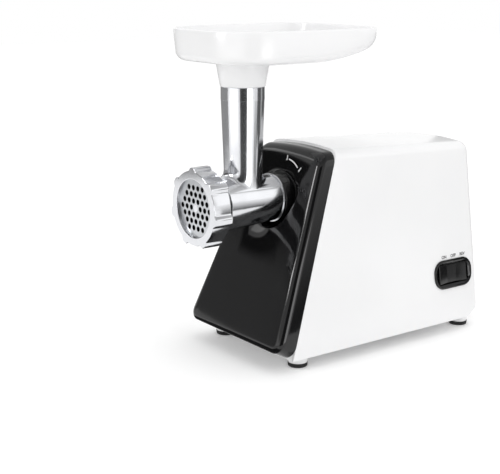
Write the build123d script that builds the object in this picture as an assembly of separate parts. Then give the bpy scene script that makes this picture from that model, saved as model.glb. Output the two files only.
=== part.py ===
from build123d import *
import math
import os

# Electric meat grinder, in millimetres and degrees.
# X runs across, Y from the cutting plate at the front (-Y) to the rear wall, Z up from the table.

# Housing
overall_length = 323.0
base_width = 163.2
side_lean = 8.35
front_lean = 21.1
base_height = 12.6
housing_wall = 2.8
housing_round = 10.0
roof_gap = 6.0
roof_fall = 2.45
roof_crown = 3.0
rear_bevel_height = 13.0
rear_bevel_run = 20.0
fit_gap = 0.3

# Base plate and feet
base_thickness = 3.2
foot_side_inset = 19.9
foot_front_inset = 19.7
foot_rear_inset = 16.4
boss_top_radius = 10.8
boss_foot_radius = 9.2
post_height = 14.0
post_radius = 4.5
post_margin = 1.3
rib_thickness = 3.0
pad_radius = 8.8
pad_height = 2.4
pad_stem_radius = 3.0
pad_stem_length = 4.0
screw_radius = 1.5
screw_head_radius = 3.2
screw_head_height = 2.0
screw_length = 10.0
screw_gap = 0.05

# Front panel
panel_depth = 17.3
panel_foot = 19.5
panel_drop = 2.5
panel_rim = 4.7
panel_recess = 8.3
panel_wall = 3.0
panel_corner = 12.0
panel_top_corner = 13.0
panel_edge_round = 1.4
lip_depth = 6.0
lip_wall = 2.0
seam_lead = 12.4

# Grinding head
head_height = 157.0
head_length = 94.5
tube_setback = 59.2
plate_diameter = 62.0
plate_thickness = 5.0
plate_hole = 5.1
hole_pitch = 7.55
hole_rings = 3
plate_gap = 0.3
key_radius = 1.5
key_length = 3.6
mouth_wall = 2.3
barrel_bore = 40.0
barrel_front_radius = 27.0
barrel_rear_radius = 23.0
flange_radius = 24.4
flange_thickness = 2.4
flare_length = 1.4
rear_wall = 7.0
spigot_radius = 20.6
spigot_length = 25.0
spigot_bore = 34.0
lug_count = 3
lug_rise = 2.2
lug_width = 24.0
lug_length = 4.5
twist_angle = 40.0
bush_radius = 10.4

# Feed tube and tray
tube_rise = 113.4
tube_radius = 21.5
tube_draft = 1.9
tube_bore = 33.0
tube_spigot_radius = 19.0
tube_spigot_length = 13.0
saddle_width = 45.0
saddle_round = 12.0
saddle_foot = 10.0
saddle_top = 28.0
neck_length = 23.8
neck_foot_radius = 22.2
neck_top_radius = 25.7
tray_depth = 30.8
tray_wall = 2.4
tray_width = 142.0
tray_front_reach = 53.9
tray_rear_reach = 121.7
tray_front_round = 46.0
tray_rear_round = 26.0
tray_draft = 5.0
tray_flat = 34.0
tray_tail_depth = 10.0
tray_edge_round = 9.0
throat_flare = 3.0

# Ring nut
nut_length = 19.6
nut_lip = 3.2
nut_opening = 56.8
nut_wall = 2.4
nut_gap = 0.3
lobe_count = 7
lobe_rise = 3.2
lobe_width = 16.0
lobe_tip = 6.0
lobe_phase = 91.5
lobe_round = 1.6
nut_chamfer = 1.0
face_gap = 0.1

# Auger and knife
auger_gap = 0.6
auger_hub_radius = 9.0
auger_pitch = 23.0
flight_gap = 0.5
flight_share = 0.26
journal_radius = 8.2
tail_across = 12.0
tail_length = 18.0
square_across = 10.0
pin_radius = 4.0
running_gap = 0.06
knife_thickness = 6.0
knife_span = 54.0
blade_width = 11.0
knife_hub_radius = 11.0
blade_count = 4
blade_phase = 20.0

# Bayonet collar
collar_length = 34.5
collar_radius = 24.4
collar_base_radius = 26.0
collar_base_length = 20.0
collar_flange_radius = 34.0
collar_flange_thickness = 4.0
collar_chamfer = 0.6
collar_screw_circle = 30.0
collar_screw_count = 4
collar_screw_phase = 45.0
slot_play = 2.0

# Gear train, first stage at the motor
module_1 = 1.0
pinion_1 = 9
wheel_1 = 54
face_1 = 8.5
module_2 = 1.25
pinion_2 = 10
wheel_2 = 45
face_2 = 9.0
module_3 = 1.75
pinion_3 = 10
wheel_3 = 40
face_3 = 13.0
second_angle = 30.0
first_angle = 62.5
pressure_angle = 20.0
profile_shift = 0.5
dedendum = 1.25
pinion_addendum = 1.25
wheel_addendum = 0.5
tooth_backlash = 0.14
row_gap = 2.0
end_gap = 2.5
gear_pin_radius = 3.0
gear_hub_radius = 5.0
pin_seat = 3.0

# Gear case
case_wall = 3.0
case_gap = 2.0
cover_thickness = 6.0
ear_radius = 5.0
ear_bite = 1.0
ear_rise = 35.0
ear_drop = 55.0
leg_spread = 44.0
leg_width = 14.0
bush_wall = 3.0
shaft_radius = 10.0
shaft_rear_radius = 8.0
shaft_collar_radius = 12.0
shaft_gap = 1.3
hub_radius = 12.5
bush_stand_out = 5.0

# Motor
bearing_radius = 11.0
bearing_width = 7.0
motor_shaft_radius = 4.0
pinion_bore = 2.5
shaft_step = 1.0
shaft_clearance = 2.0
bearing_boss_radius = 14.0
fan_gap = 1.5
fan_lead = 2.0
fan_width = 10.0
fan_blades = 10
fan_plate = 1.6
fan_hub_radius = 8.0
fan_inlet = 4.5
stator_width = 84.0
stator_height = 70.0
stator_round = 14.0
stator_length = 38.0
stator_front_gap = 6.0
armature_radius = 24.0
air_gap = 0.6
armature_slots = 12
slot_depth = 9.0
slot_width = 3.4
window_depth = 7.0
window_span = 80.0
coil_gap = 0.5
coil_reach = 88.0
coil_run = 35.0
coil_overhang = 5.0
winding_radius = 20.0
winding_length = 6.0
commutator_radius = 11.0
commutator_length = 12.0
commutator_gap = 2.0
riser_radius = 13.0
riser_length = 1.5
bracket_thickness = 4.0
bracket_height = 26.0
bracket_gap = 4.0
web_gap = 2.0
motor_bolt_radius = 2.0
motor_bolt_spread = 73.0
motor_bolt_head = 3.6
pillar_radius = 5.0
brush_side = 6.0
brush_length = 14.0
holder_wall = 1.4
holder_length = 9.0
holder_gap = 2.0
spring_thickness = 0.6
spring_width = 5.0
buffer_height = 6.0
buffer_length = 14.0

# Switch
switch_rear_inset = 39.0
switch_height = 63.0
bezel_length = 55.0
bezel_width = 31.0
bezel_round = 13.0
bezel_stand_out = 1.8
bezel_wall = 2.0
bezel_sleeve_depth = 12.5
window_length = 45.0
window_width = 22.0
window_round = 4.0
rocker_gap = 0.5
rocker_pivot_depth = 7.0
rocker_dip = 3.0
rocker_flat = 13.0
rocker_stand_out = 1.2
rocker_belly = 5.0
trunnion_radius = 1.5
trunnion_length = 1.2
switch_body_depth = 7.0
terminal_count = 3
terminal_pitch = 12.0
terminal_width = 6.3
terminal_thickness = 0.8
terminal_length = 7.0

# Vents and cord gland
vent_length = 60.0
vent_width = 3.2
vent_pitch = 8.0
vent_rows = 7
vent_height = 145.0
base_vent_length = 34.0
base_vent_rows = 8
base_vent_spread = 84.0
base_vent_start = 30.0
gland_offset = -30.0
gland_height = 46.0
gland_radius = 6.4
gland_flange_radius = 9.0
gland_depth = 9.0
gland_bore = 7.2

# Places along Y, from the nut's face to the rear
rear_y = overall_length / 2
nut_front = -overall_length / 2
nut_rear = nut_front + nut_length
plate_front = nut_front + nut_lip + face_gap
plate_rear = plate_front + plate_thickness
knife_front = plate_rear + face_gap
knife_rear = knife_front + knife_thickness
mouth_front = plate_front + fit_gap
chamber_rear = knife_rear + 2 * fit_gap
thread_rear = nut_rear + 2 * fit_gap
tube_y = nut_front + tube_setback
collar_front = nut_front + head_length
flange_rear = collar_front - face_gap
cover_front = collar_front + collar_length
case_front = cover_front + cover_thickness
row_3 = case_front + end_gap
row_2 = row_3 + face_3 + row_gap
row_1 = row_2 + face_2 + row_gap
case_inside = row_1 + face_1 + end_gap
case_rear = case_inside + case_wall
bearing_front = case_rear - fit_gap
bearing_rear = bearing_front + bearing_width
fan_front = bearing_rear + fan_lead
fan_rear = fan_front + fan_width
stator_front = fan_rear + stator_front_gap
stator_rear = stator_front + stator_length
commutator_front = stator_rear + winding_length + commutator_gap
commutator_rear = commutator_front + commutator_length
bracket_front = commutator_rear + bracket_gap
bracket_rear = bracket_front + bracket_thickness

# Heights and radii that follow from the sizes above
base_top = base_height + base_thickness
shoulder_height = head_height + tube_rise
tray_floor = shoulder_height + neck_length
rim_height = tray_floor + tray_depth
mouth_bore = plate_diameter / 2 + plate_gap
thread_radius = mouth_bore + mouth_wall
nut_bore = thread_radius + nut_gap
nut_radius = nut_bore + nut_wall
auger_radius = barrel_bore / 2 - auger_gap
side_slope = math.tan(math.radians(side_lean))
side_cosine = math.cos(math.radians(side_lean))
side_sine = math.sin(math.radians(side_lean))
front_slope = math.tan(math.radians(front_lean))
bevel_length = math.hypot(rear_bevel_height, rear_bevel_run)


def below(start, distance, angle):
    """Point at a distance below another in the XZ plane, swung towards +X by an angle."""
    swing = math.radians(angle)
    return (start[0] + distance * math.sin(swing), start[1] - distance * math.cos(swing))


centre_3 = module_3 * (pinion_3 + wheel_3) / 2
centre_2 = module_2 * (pinion_2 + wheel_2) / 2
centre_1 = module_1 * (pinion_1 + wheel_1) / 2
output_axis = (0.0, head_height)
second_axis = below(output_axis, centre_3, second_angle)
first_axis = below(second_axis, centre_2, -first_angle)
motor_angle = math.degrees(math.asin(-first_axis[0] / centre_1))
motor_axis = below(first_axis, centre_1, motor_angle)
motor_x, motor_z = motor_axis


def wheel_tip(module, teeth):
    """Tip radius of a wheel that meshes with a shifted pinion."""
    return module * (teeth / 2 + wheel_addendum)


output_reach = wheel_tip(module_3, wheel_3) + case_gap
second_reach = wheel_tip(module_2, wheel_2) + case_gap
first_reach = wheel_tip(module_1, wheel_1) + case_gap
roof_at_cover = head_height + output_reach + case_wall + roof_gap + housing_wall
roof_slope = math.tan(math.radians(roof_fall))


def seam_y(height):
    """Y of the seam between the housing and the panel, which leans back."""
    return cover_front - seam_lead + (height - head_height) * front_slope


def half_width(height, inset=0.0):
    """Half the housing's width at a height, less a wall."""
    return base_width / 2 - height * side_slope - inset / side_cosine


def roof_height(y):
    """Height of the roof's long edges, which fall towards the rear."""
    return roof_at_cover - (y - cover_front) * roof_slope


def facing(x, y, z):
    """Plane seen from the front: its x is X, its y is Z and it looks along -Y."""
    return Plane(origin=(x, y, z), x_dir=(1, 0, 0), z_dir=(0, -1, 0))


def rod(axis, radius, front, rear):
    """Cylinder along Y."""
    return extrude(facing(axis[0], rear, axis[1]) * Circle(radius), rear - front)


def ring(axis, outer, inner, front, rear):
    """Tube along Y."""
    return rod(axis, outer, front, rear) - rod(axis, inner, front, rear)


def turned(profile, axis):
    """Solid turned about a line along Y, from (y, radius) corners."""
    x, z = axis
    outline = Polyline(*[(x, y, z + radius) for y, radius in profile], close=True)
    return revolve(make_face(outline), Axis((x, 0, z), (0, 1, 0)))


def around(middle, size):
    """Limits of a size about its middle."""
    return (middle - size / 2, middle + size / 2)


def block(x_span, y_span, z_span):
    """Box between two limits on each axis."""
    spans = (x_span, y_span, z_span)
    centre = tuple((low + high) / 2 for low, high in spans)
    size = tuple(high - low for low, high in spans)
    return Pos(*centre) * Box(*size)


def prism(axis, sketch, front, rear):
    """A sketch drawn as seen from the front, carried along Y."""
    return extrude(facing(axis[0], rear, axis[1]) * sketch, rear - front)


def polar(radius, angle):
    """Point on a circle in the plane of a sketch."""
    return (radius * math.cos(math.radians(angle)), radius * math.sin(math.radians(angle)))


def sector(inner, outer, start, end):
    """Part of a ring between two angles."""
    middle = (start + end) / 2
    sides = [
        ThreePointArc(polar(outer, start), polar(outer, middle), polar(outer, end)),
        Line(polar(outer, end), polar(inner, end)),
        ThreePointArc(polar(inner, end), polar(inner, middle), polar(inner, start)),
        Line(polar(inner, start), polar(outer, start)),
    ]
    return make_face(sides)


# Housing and base


def housing_section(y, foot, roof, inset):
    """Cross-section of the housing: leaning sides under a slightly crowned roof."""
    low = half_width(foot, inset)
    high = half_width(roof, inset)
    sides = [
        Line((-low, y, foot), (-high, y, roof)),
        ThreePointArc((-high, y, roof), (0, y, roof + roof_crown), (high, y, roof)),
        Line((high, y, roof), (low, y, foot)),
        Line((low, y, foot), (-low, y, foot)),
    ]
    return make_face(sides)


def bevel_plane(inset):
    """Plane of the bevel under the rear wall, looking out."""
    out = Vector(0, rear_bevel_height / bevel_length, -rear_bevel_run / bevel_length)
    start = Vector(0, rear_y, base_height + rear_bevel_height) - out * inset
    return Plane(origin=start, x_dir=(1, 0, 0), z_dir=out)


def housing_form(inset, foot, front):
    """Outer form of the housing, or the hollow inside its walls."""
    rear = rear_y - inset
    sections = [housing_section(y, foot, roof_height(y) - inset, inset) for y in (front, rear)]
    form = loft(sections, ruled=True)
    roof_low = roof_height(rear) - inset - 1
    rounded = [
        edge
        for edge in form.edges()
        if (edge.center().Y > rear - 1 and edge.center().Z > foot + 1)
        or (edge.center().Z > roof_low and abs(edge.center().X) > 1 and edge.center().Y > front + 1)
    ]
    form = fillet(rounded, housing_round - inset)
    return split(form, bisect_by=bevel_plane(inset), keep=Keep.BOTTOM)


def seam_plane(lead=0.0):
    """Leaning plane of the panel seam, looking to the front, moved forward along Y by a lead."""
    lean = math.radians(front_lean)
    out = (0, -math.cos(lean), math.sin(lean))
    return Plane(origin=(0, seam_y(0) - lead, 0), x_dir=(1, 0, 0), z_dir=out)


form_front = seam_y(base_height) - 4 * panel_depth
sill_depth = housing_wall * math.hypot(1, front_slope)
sill_top = base_top + post_height
foot_rear_y = rear_y - foot_rear_inset
foot_ys = (seam_y(base_height) + foot_front_inset, foot_rear_y)
foot_x = base_width / 2 - foot_side_inset
foot_places = [(side * foot_x, y) for y in foot_ys for side in (-1, 1)]
foot_spacing = foot_ys[1] - foot_ys[0]
post_ys = (foot_ys[0] + foot_spacing / 4, foot_ys[1] - foot_spacing / 4)
post_inset = housing_wall + post_radius + post_margin
post_x = half_width(sill_top) - post_inset
post_places = [(side * post_x, y) for y in post_ys for side in (-1, 1)]
switch_y = rear_y - switch_rear_inset
switch_plane = Plane(
    origin=(half_width(switch_height), switch_y, switch_height),
    x_dir=(0, 1, 0),
    z_dir=(side_cosine, 0, side_sine),
)
sleeve_length = window_length + 2 * bezel_wall
sleeve_width = window_width + 2 * bezel_wall
sleeve_round = window_round + bezel_wall
gland_axis = (gland_offset, gland_height)


def on_switch(sketch, low, high):
    """A sketch on the housing's side, carried between two distances along its outward normal."""
    return extrude(switch_plane.offset(low) * sketch, high - low)


def upright(x, y, low_radius, high_radius, low, high):
    """Round post along Z, straight or tapered."""
    if low_radius == high_radius:
        return extrude(Plane((x, y, low)) * Circle(low_radius), high - low)
    return loft([Plane((x, y, low)) * Circle(low_radius), Plane((x, y, high)) * Circle(high_radius)])


def make_housing_shell():
    outer = split(
        housing_form(0.0, base_height, form_front), bisect_by=seam_plane(), keep=Keep.BOTTOM
    )
    shell = outer - housing_form(housing_wall, -base_height, form_front)
    sill = split(outer, bisect_by=seam_plane(-sill_depth), keep=Keep.TOP)
    shell += sill & block((-base_width, base_width), (form_front, rear_y), (base_height, sill_top))
    for x, y in foot_places:
        shell += upright(x, y, boss_foot_radius, boss_top_radius, pad_height, base_height)
        shell += upright(x, y, boss_top_radius, boss_top_radius, base_height, sill_top)
    for x, y in foot_places + post_places:
        span = (x, base_width) if x > 0 else (-base_width, x)
        rib = block(span, around(y, rib_thickness), (base_top, sill_top))
        shell += rib & outer
    for x, y in post_places:
        shell += upright(x, y, post_radius, post_radius, base_top, sill_top)
        hole = screw_radius + screw_gap
        shell -= upright(x, y, hole, hole, base_top, base_top + screw_length)
    for x, y in foot_places:
        hole = pad_stem_radius + screw_gap
        shell -= upright(x, y, hole, hole, 0, pad_height + pad_stem_length + fit_gap)
    opening = RectangleRounded(
        sleeve_length + 2 * fit_gap, sleeve_width + 2 * fit_gap, sleeve_round + fit_gap
    )
    shell -= on_switch(opening, -2 * housing_wall, 2 * housing_wall)
    wall_front = rear_y - 2 * housing_wall
    for row in range(vent_rows):
        height = vent_height + (row - (vent_rows - 1) / 2) * vent_pitch
        shell -= prism((0, height), SlotOverall(vent_length, vent_width), wall_front, rear_y)
    return shell - rod(gland_axis, gland_radius + screw_gap, wall_front, rear_y)


base_front = seam_y(base_top) + sill_depth + fit_gap
base_half = half_width(base_top, housing_wall) - fit_gap
bevel_wall = housing_wall * bevel_length / rear_bevel_height
base_rear = rear_y - rear_bevel_run - bevel_wall - fit_gap
leg_ys = (case_front + leg_width / 2, case_rear - leg_width / 2)
leg_places = [(motor_x + side * leg_spread / 2, y) for y in leg_ys for side in (-1, 1)]


def make_base_plate():
    plate = block((-base_half, base_half), (base_front, base_rear), (base_height, base_top))
    for x, y in foot_places:
        hole = boss_top_radius + fit_gap
        plate -= upright(x, y, hole, hole, base_height, base_top)
    for x, y in post_places + leg_places:
        hole = screw_radius + fit_gap
        plate -= upright(x, y, hole, hole, base_height, base_top)
    for row in range(base_vent_rows):
        y = base_vent_start + row * vent_pitch
        for side in (-1, 1):
            place = Plane((side * base_vent_spread / 2, y, base_height))
            plate -= extrude(place * SlotOverall(base_vent_length, vent_width), base_thickness)
    return plate


def screws_up(places):
    """Screws with pan heads under the base plate, pointing up."""
    screws = []
    seat = base_height - screw_head_height
    tip = base_top + screw_length - fit_gap
    for x, y in places:
        head = upright(x, y, screw_head_radius, screw_head_radius, seat, base_height)
        screws.append(head + upright(x, y, screw_radius, screw_radius, base_height, tip))
    return Compound(children=screws)


def make_foot_pad(x, y):
    pad = upright(x, y, pad_radius, pad_radius, 0, pad_height)
    return pad + upright(x, y, pad_stem_radius, pad_stem_radius, pad_height, pad_height + pad_stem_length)


def make_cord_gland():
    wall_inside = rear_y - housing_wall
    gland = rod(gland_axis, gland_radius, rear_y - gland_depth, rear_y)
    gland += rod(gland_axis, gland_flange_radius, rear_y - gland_depth, wall_inside)
    return gland - rod(gland_axis, gland_bore / 2, rear_y - gland_depth, rear_y)


# Front panel and bayonet collar

panel_top = roof_height(seam_y(roof_at_cover)) - panel_drop


def panel_outline(inset, foot):
    """Outline of the panel seen from the front, following the housing's sides and roof."""
    low = half_width(foot, inset)
    roof = panel_top - inset
    high = half_width(roof, inset)
    sides = [
        Line((-low, foot), (-high, roof)),
        ThreePointArc((-high, roof), (0, roof + roof_crown), (high, roof)),
        Line((high, roof), (low, foot)),
        Line((low, foot), (-low, foot)),
    ]
    face = make_face(sides)
    top = face.vertices().sort_by(Axis.Y)[2:]
    face = fillet(top, panel_top_corner - inset)
    bottom = face.vertices().sort_by(Axis.Y)[:2]
    return fillet(bottom, panel_corner - inset)


def leaning_slab(outline, front_lead, rear_lead):
    """An outline seen from the front, cut between two planes that lie along the seam."""
    rear = seam_y(panel_top) + 2 * panel_depth
    slab = prism((0, 0), outline, seam_y(0) - 2 * panel_depth, rear)
    slab = split(slab, bisect_by=seam_plane(front_lead), keep=Keep.BOTTOM)
    return split(slab, bisect_by=seam_plane(rear_lead), keep=Keep.TOP)


def make_front_panel():
    face_lead = panel_depth - panel_recess
    panel = leaning_slab(panel_outline(0, panel_foot), panel_depth, 0)
    panel -= leaning_slab(panel_outline(panel_rim, panel_foot + panel_rim), 2 * panel_depth, face_lead)
    rim = panel.faces().sort_by(Axis((0, 0, 0), seam_plane().z_dir))[-1]
    panel = fillet(rim.edges(), panel_edge_round)
    panel -= leaning_slab(
        panel_outline(panel_rim, panel_foot + panel_rim), face_lead - panel_wall, -2 * lip_depth
    )
    lip_inset = housing_wall + fit_gap
    lip_foot = panel_foot + lip_inset
    lip = leaning_slab(panel_outline(lip_inset, lip_foot), 0, -lip_depth)
    lip -= leaning_slab(
        panel_outline(lip_inset + lip_wall, lip_foot + lip_wall), panel_depth, -2 * lip_depth
    )
    lip_low = sill_top + fit_gap
    lip -= block((-base_width, base_width), (seam_y(0) - panel_depth, case_rear), (0, lip_low))
    panel += lip
    return panel - rod(output_axis, collar_base_radius + fit_gap, nut_rear, case_rear)


def beside(axis, radius, angle):
    """Axis at a distance from another, at an angle as seen from the front."""
    x, z = polar(radius, angle)
    return (axis[0] + x, axis[1] + z)


collar_screw_axes = [
    beside(output_axis, collar_screw_circle, collar_screw_phase + k * 360 / collar_screw_count)
    for k in range(collar_screw_count)
]
collar_seat = cover_front - collar_flange_thickness
lug_radius = spigot_radius + lug_rise
lug_front = flange_rear + spigot_length - lug_length


def lug_sectors(inner, outer, width, turn):
    """Sectors evenly spaced round the barrel's axis, turned by an angle."""
    step = 360 / lug_count
    shapes = [
        sector(inner, outer, 90 + turn + k * step - width / 2, 90 + turn + k * step + width / 2)
        for k in range(lug_count)
    ]
    return shapes


def make_bayonet_collar():
    base_front_y = cover_front - collar_base_length
    slot = lug_radius + fit_gap
    groove = slot + fit_gap
    groove_front = lug_front - fit_gap
    groove_rear = lug_front + lug_length + fit_gap
    bore = spigot_radius + fit_gap
    profile = [
        (collar_front, bore),
        (collar_front, collar_radius - collar_chamfer),
        (collar_front + collar_chamfer, collar_radius),
        (base_front_y, collar_radius),
        (base_front_y, collar_base_radius),
        (collar_seat, collar_base_radius),
        (collar_seat, collar_flange_radius),
        (cover_front, collar_flange_radius),
        (cover_front, bore),
        (groove_rear, bore),
        (groove_rear, groove),
        (groove_front, groove),
        (groove_front, bore),
    ]
    collar = turned(profile, output_axis)
    for shape in lug_sectors(spigot_radius - lug_rise, slot, lug_width + slot_play, -twist_angle):
        collar -= prism(output_axis, shape, collar_front, groove_front + lug_length / 2)
    hole = screw_radius + fit_gap
    for axis in collar_screw_axes:
        collar -= rod(axis, hole, collar_seat, cover_front)
    return collar


def screws_back(axes, head_rear, tip):
    """Screws along Y with their heads at the front."""
    screws = []
    for axis in axes:
        head = rod(axis, screw_head_radius, head_rear - screw_head_height, head_rear)
        screws.append(head + rod(axis, screw_radius, head_rear, tip))
    return Compound(children=screws)


# Grinding head

tube_slope = math.tan(math.radians(tube_draft))
key_axis = (0.0, head_height - mouth_bore)


def tube_radius_at(height):
    """Outer radius of the feed tube, which narrows towards the barrel."""
    return tube_radius - (shoulder_height - height) * tube_slope


def make_head_casting():
    flange_front = flange_rear - flange_thickness
    flare_front = flange_front - flare_length
    outer = [
        (mouth_front, 0),
        (mouth_front, thread_radius),
        (thread_rear, thread_radius),
        (thread_rear + (thread_radius - barrel_front_radius), barrel_front_radius),
        (flare_front, barrel_rear_radius),
        (flange_front, flange_radius),
        (flange_rear, flange_radius),
        (flange_rear, spigot_radius),
        (flange_rear + spigot_length, spigot_radius),
        (flange_rear + spigot_length, 0),
    ]
    casting = turned(outer, output_axis)
    for shape in lug_sectors(spigot_radius - lug_rise, lug_radius, lug_width, 0):
        casting += prism(output_axis, shape, lug_front, lug_front + lug_length)
    saddle_high = head_height + saddle_top
    tube_foot = tube_radius_at(saddle_high)
    casting += loft(
        [
            Plane((0, tube_y, head_height + saddle_foot))
            * RectangleRounded(saddle_width, saddle_width, saddle_round),
            Plane((0, tube_y, saddle_high))
            * RectangleRounded(2 * tube_foot, 2 * tube_foot, tube_foot - screw_gap),
        ]
    )
    casting += upright(0, tube_y, tube_radius_at(head_height), tube_radius, head_height, shoulder_height)
    spigot_top = shoulder_height + tube_spigot_length
    casting += upright(0, tube_y, tube_spigot_radius, tube_spigot_radius, shoulder_height, spigot_top)
    bore = barrel_bore / 2
    hollow = [
        (mouth_front, 0),
        (mouth_front, mouth_bore),
        (chamber_rear, mouth_bore),
        (chamber_rear + (mouth_bore - bore) / 2, bore),
        (flange_rear - rear_wall, bore),
        (flange_rear - rear_wall, bush_radius + screw_gap),
        (flange_rear, bush_radius + screw_gap),
        (flange_rear, spigot_bore / 2),
        (flange_rear + spigot_length, spigot_bore / 2),
        (flange_rear + spigot_length, 0),
    ]
    casting -= turned(hollow, output_axis)
    casting -= upright(0, tube_y, tube_bore / 2, tube_bore / 2, head_height, spigot_top)
    return casting - rod(key_axis, key_radius + screw_gap, mouth_front, mouth_front + key_length)


def make_plate_key():
    return rod(key_axis, key_radius, mouth_front, mouth_front + key_length)


def make_auger_bush():
    inner = journal_radius + running_gap
    return ring(output_axis, bush_radius, inner, flange_rear - rear_wall, flange_rear)


def make_cutting_plate():
    disc = Circle(plate_diameter / 2) - Circle(pin_radius + running_gap)
    row_step = hole_pitch * math.sqrt(3) / 2
    for row in range(-hole_rings, hole_rings + 1):
        holes = 2 * hole_rings + 1 - abs(row)
        for k in range(holes):
            x = (k - (holes - 1) / 2) * hole_pitch
            if (row, 2 * k) != (0, holes - 1):
                disc -= Pos(x, row * row_step) * Circle(plate_hole / 2)
    plate = prism(output_axis, disc, plate_front, plate_rear)
    return plate - rod(key_axis, key_radius + fit_gap, plate_front, plate_rear)


def make_ring_nut():
    ring_sketch = Circle(nut_radius)
    for k in range(lobe_count):
        lobe = Polyline(
            (nut_radius - lobe_rise, -lobe_width / 2),
            (nut_radius + lobe_rise, -lobe_tip / 2),
            (nut_radius + lobe_rise, lobe_tip / 2),
            (nut_radius - lobe_rise, lobe_width / 2),
            close=True,
        )
        ring_sketch += Rot(0, 0, lobe_phase + k * 360 / lobe_count) * make_face(lobe)
    ring_sketch = fillet(ring_sketch.vertices(), lobe_round)
    nut = prism(output_axis, ring_sketch, nut_front, nut_rear)
    rims = nut.faces().filter_by(Axis.Y).sort_by(Axis.Y)
    nut = chamfer(rims[0].edges(), nut_chamfer)
    nut -= rod(output_axis, nut_bore, nut_front + nut_lip, nut_rear)
    return nut - rod(output_axis, nut_opening / 2, nut_front, nut_rear)


def make_auger():
    flight_front = knife_rear + flight_gap
    flight_rear = flange_rear - rear_wall - flight_gap
    width = 360 * flight_share
    section = Circle(auger_hub_radius)
    section += sector(auger_hub_radius / 2, auger_radius, -width / 2, width / 2)
    length = flight_rear - flight_front
    screw = Solid.extrude_linear_with_rotation(
        (facing(0, flight_rear, head_height) * section).face(),
        (0, flight_rear, head_height),
        (0, -length, 0),
        360 * length / auger_pitch,
    )
    auger = Part() + screw
    tail_front = flange_rear + fit_gap
    auger += rod(output_axis, journal_radius, flight_rear, tail_front)
    tail = RegularPolygon(tail_across / 2, 6, major_radius=False)
    auger += prism(output_axis, tail, tail_front, tail_front + tail_length)
    auger += prism(output_axis, Rectangle(square_across, square_across), knife_front, flight_front)
    return auger + rod(output_axis, pin_radius, plate_front, knife_front)


def make_knife():
    sketch = Circle(knife_hub_radius)
    for k in range(blade_count):
        blade = Polyline(
            (0, -blade_width / 2),
            (knife_span / 2, -blade_width / 4),
            (knife_span / 2, blade_width / 4),
            (0, blade_width / 2),
            close=True,
        )
        sketch += Rot(0, 0, k * 360 / blade_count + blade_phase) * make_face(blade)
    hole = square_across + 2 * screw_gap
    return prism(output_axis, sketch - Rectangle(hole, hole), knife_front, knife_rear - fit_gap)


# Tray

tray_front = tube_y - tray_front_reach
tray_rear = tube_y + tray_rear_reach


def tray_form(inset):
    """Outer form of the tray, or the hollow inside its walls, with a floor that rises to the rear."""
    half = tray_width / 2 - inset
    front = tray_front + inset
    rear = tray_rear - inset
    floor = tray_floor + inset
    plan = make_face(Polyline((-half, front), (half, front), (half, rear), (-half, rear), close=True))
    plan = fillet(plan.vertices().sort_by(Axis.Y)[:2], tray_front_round - inset)
    plan = fillet(plan.vertices().sort_by(Axis.Y)[-2:], tray_rear_round - inset)
    walls = extrude(Plane((0, 0, rim_height)) * plan, -(rim_height - floor), taper=tray_draft)
    bend = tube_y + tray_flat
    tail = rim_height - tray_tail_depth + inset
    margin = tray_edge_round
    side = [
        Line((0, front - margin, floor), (0, bend, floor)),
        TangentArc((0, bend, floor), (0, rear + margin, tail), tangent=(0, 1, 0)),
        Line((0, rear + margin, tail), (0, rear + margin, rim_height)),
        Line((0, rear + margin, rim_height), (0, front - margin, rim_height)),
        Line((0, front - margin, rim_height), (0, front - margin, floor)),
    ]
    form = walls & extrude(make_face(side), tray_width, both=True)
    low_faces = [face for face in form.faces() if face.normal_at(face.center()).Z < -0.7]
    low_edges = []
    for face in low_faces:
        for edge in face.edges():
            across = abs(edge.center().Y - bend) < 0.01 and edge.geom_type == GeomType.LINE
            if not across:
                low_edges.append(edge)
    return fillet(low_edges, tray_edge_round - inset)


def make_hopper_tray():
    tray = tray_form(0.0) - tray_form(tray_wall)
    neck_top = tray_floor + tray_wall
    tray += upright(0, tube_y, neck_foot_radius, neck_top_radius, shoulder_height, neck_top)
    socket = tube_spigot_radius + fit_gap
    socket_top = shoulder_height + tube_spigot_length + fit_gap
    tray -= upright(0, tube_y, socket, socket, shoulder_height, socket_top)
    throat = tube_bore / 2
    return tray - upright(0, tube_y, throat, throat + throat_flare, socket_top, neck_top)


# Gear train


def gear_sketch(module, teeth, shift, addendum, turn):
    """Involute gear; each flank is chords of the true curve, and a tooth points along the turn."""
    pitch_radius = module * teeth / 2
    angle = math.radians(pressure_angle)
    base_radius = pitch_radius * math.cos(angle)
    tip = pitch_radius + module * addendum
    root = pitch_radius - module * (dedendum - shift)
    half_tooth = (math.pi / 2 + 2 * shift * math.tan(angle)) / teeth
    half_tooth -= tooth_backlash / (2 * pitch_radius)

    def half_angle(radius):
        roll = math.acos(min(1.0, base_radius / radius))
        return half_tooth + (math.tan(angle) - angle) - (math.tan(roll) - roll)

    start = max(base_radius, root)
    radii = [start, (start + pitch_radius) / 2, (pitch_radius + tip) / 2, tip]
    flank = [(radius, half_angle(radius)) for radius in radii]
    if root < start:
        flank.insert(0, (root, half_angle(start)))
    points = []
    for k in range(teeth):
        middle = math.radians(turn) + 2 * math.pi * k / teeth
        for radius, half in flank:
            points.append((radius * math.cos(middle - half), radius * math.sin(middle - half)))
        for radius, half in reversed(flank):
            points.append((radius * math.cos(middle + half), radius * math.sin(middle + half)))
    return make_face(Polyline(*points, close=True))


def heading(start, end):
    """Angle of the line between two axes, as seen from the front."""
    return math.degrees(math.atan2(end[1] - start[1], end[0] - start[0]))


def pinion_sketch(module, teeth, axis, wheel_axis):
    """Pinion with a tooth on the line of centres."""
    return gear_sketch(module, teeth, profile_shift, pinion_addendum, heading(axis, wheel_axis))


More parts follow.
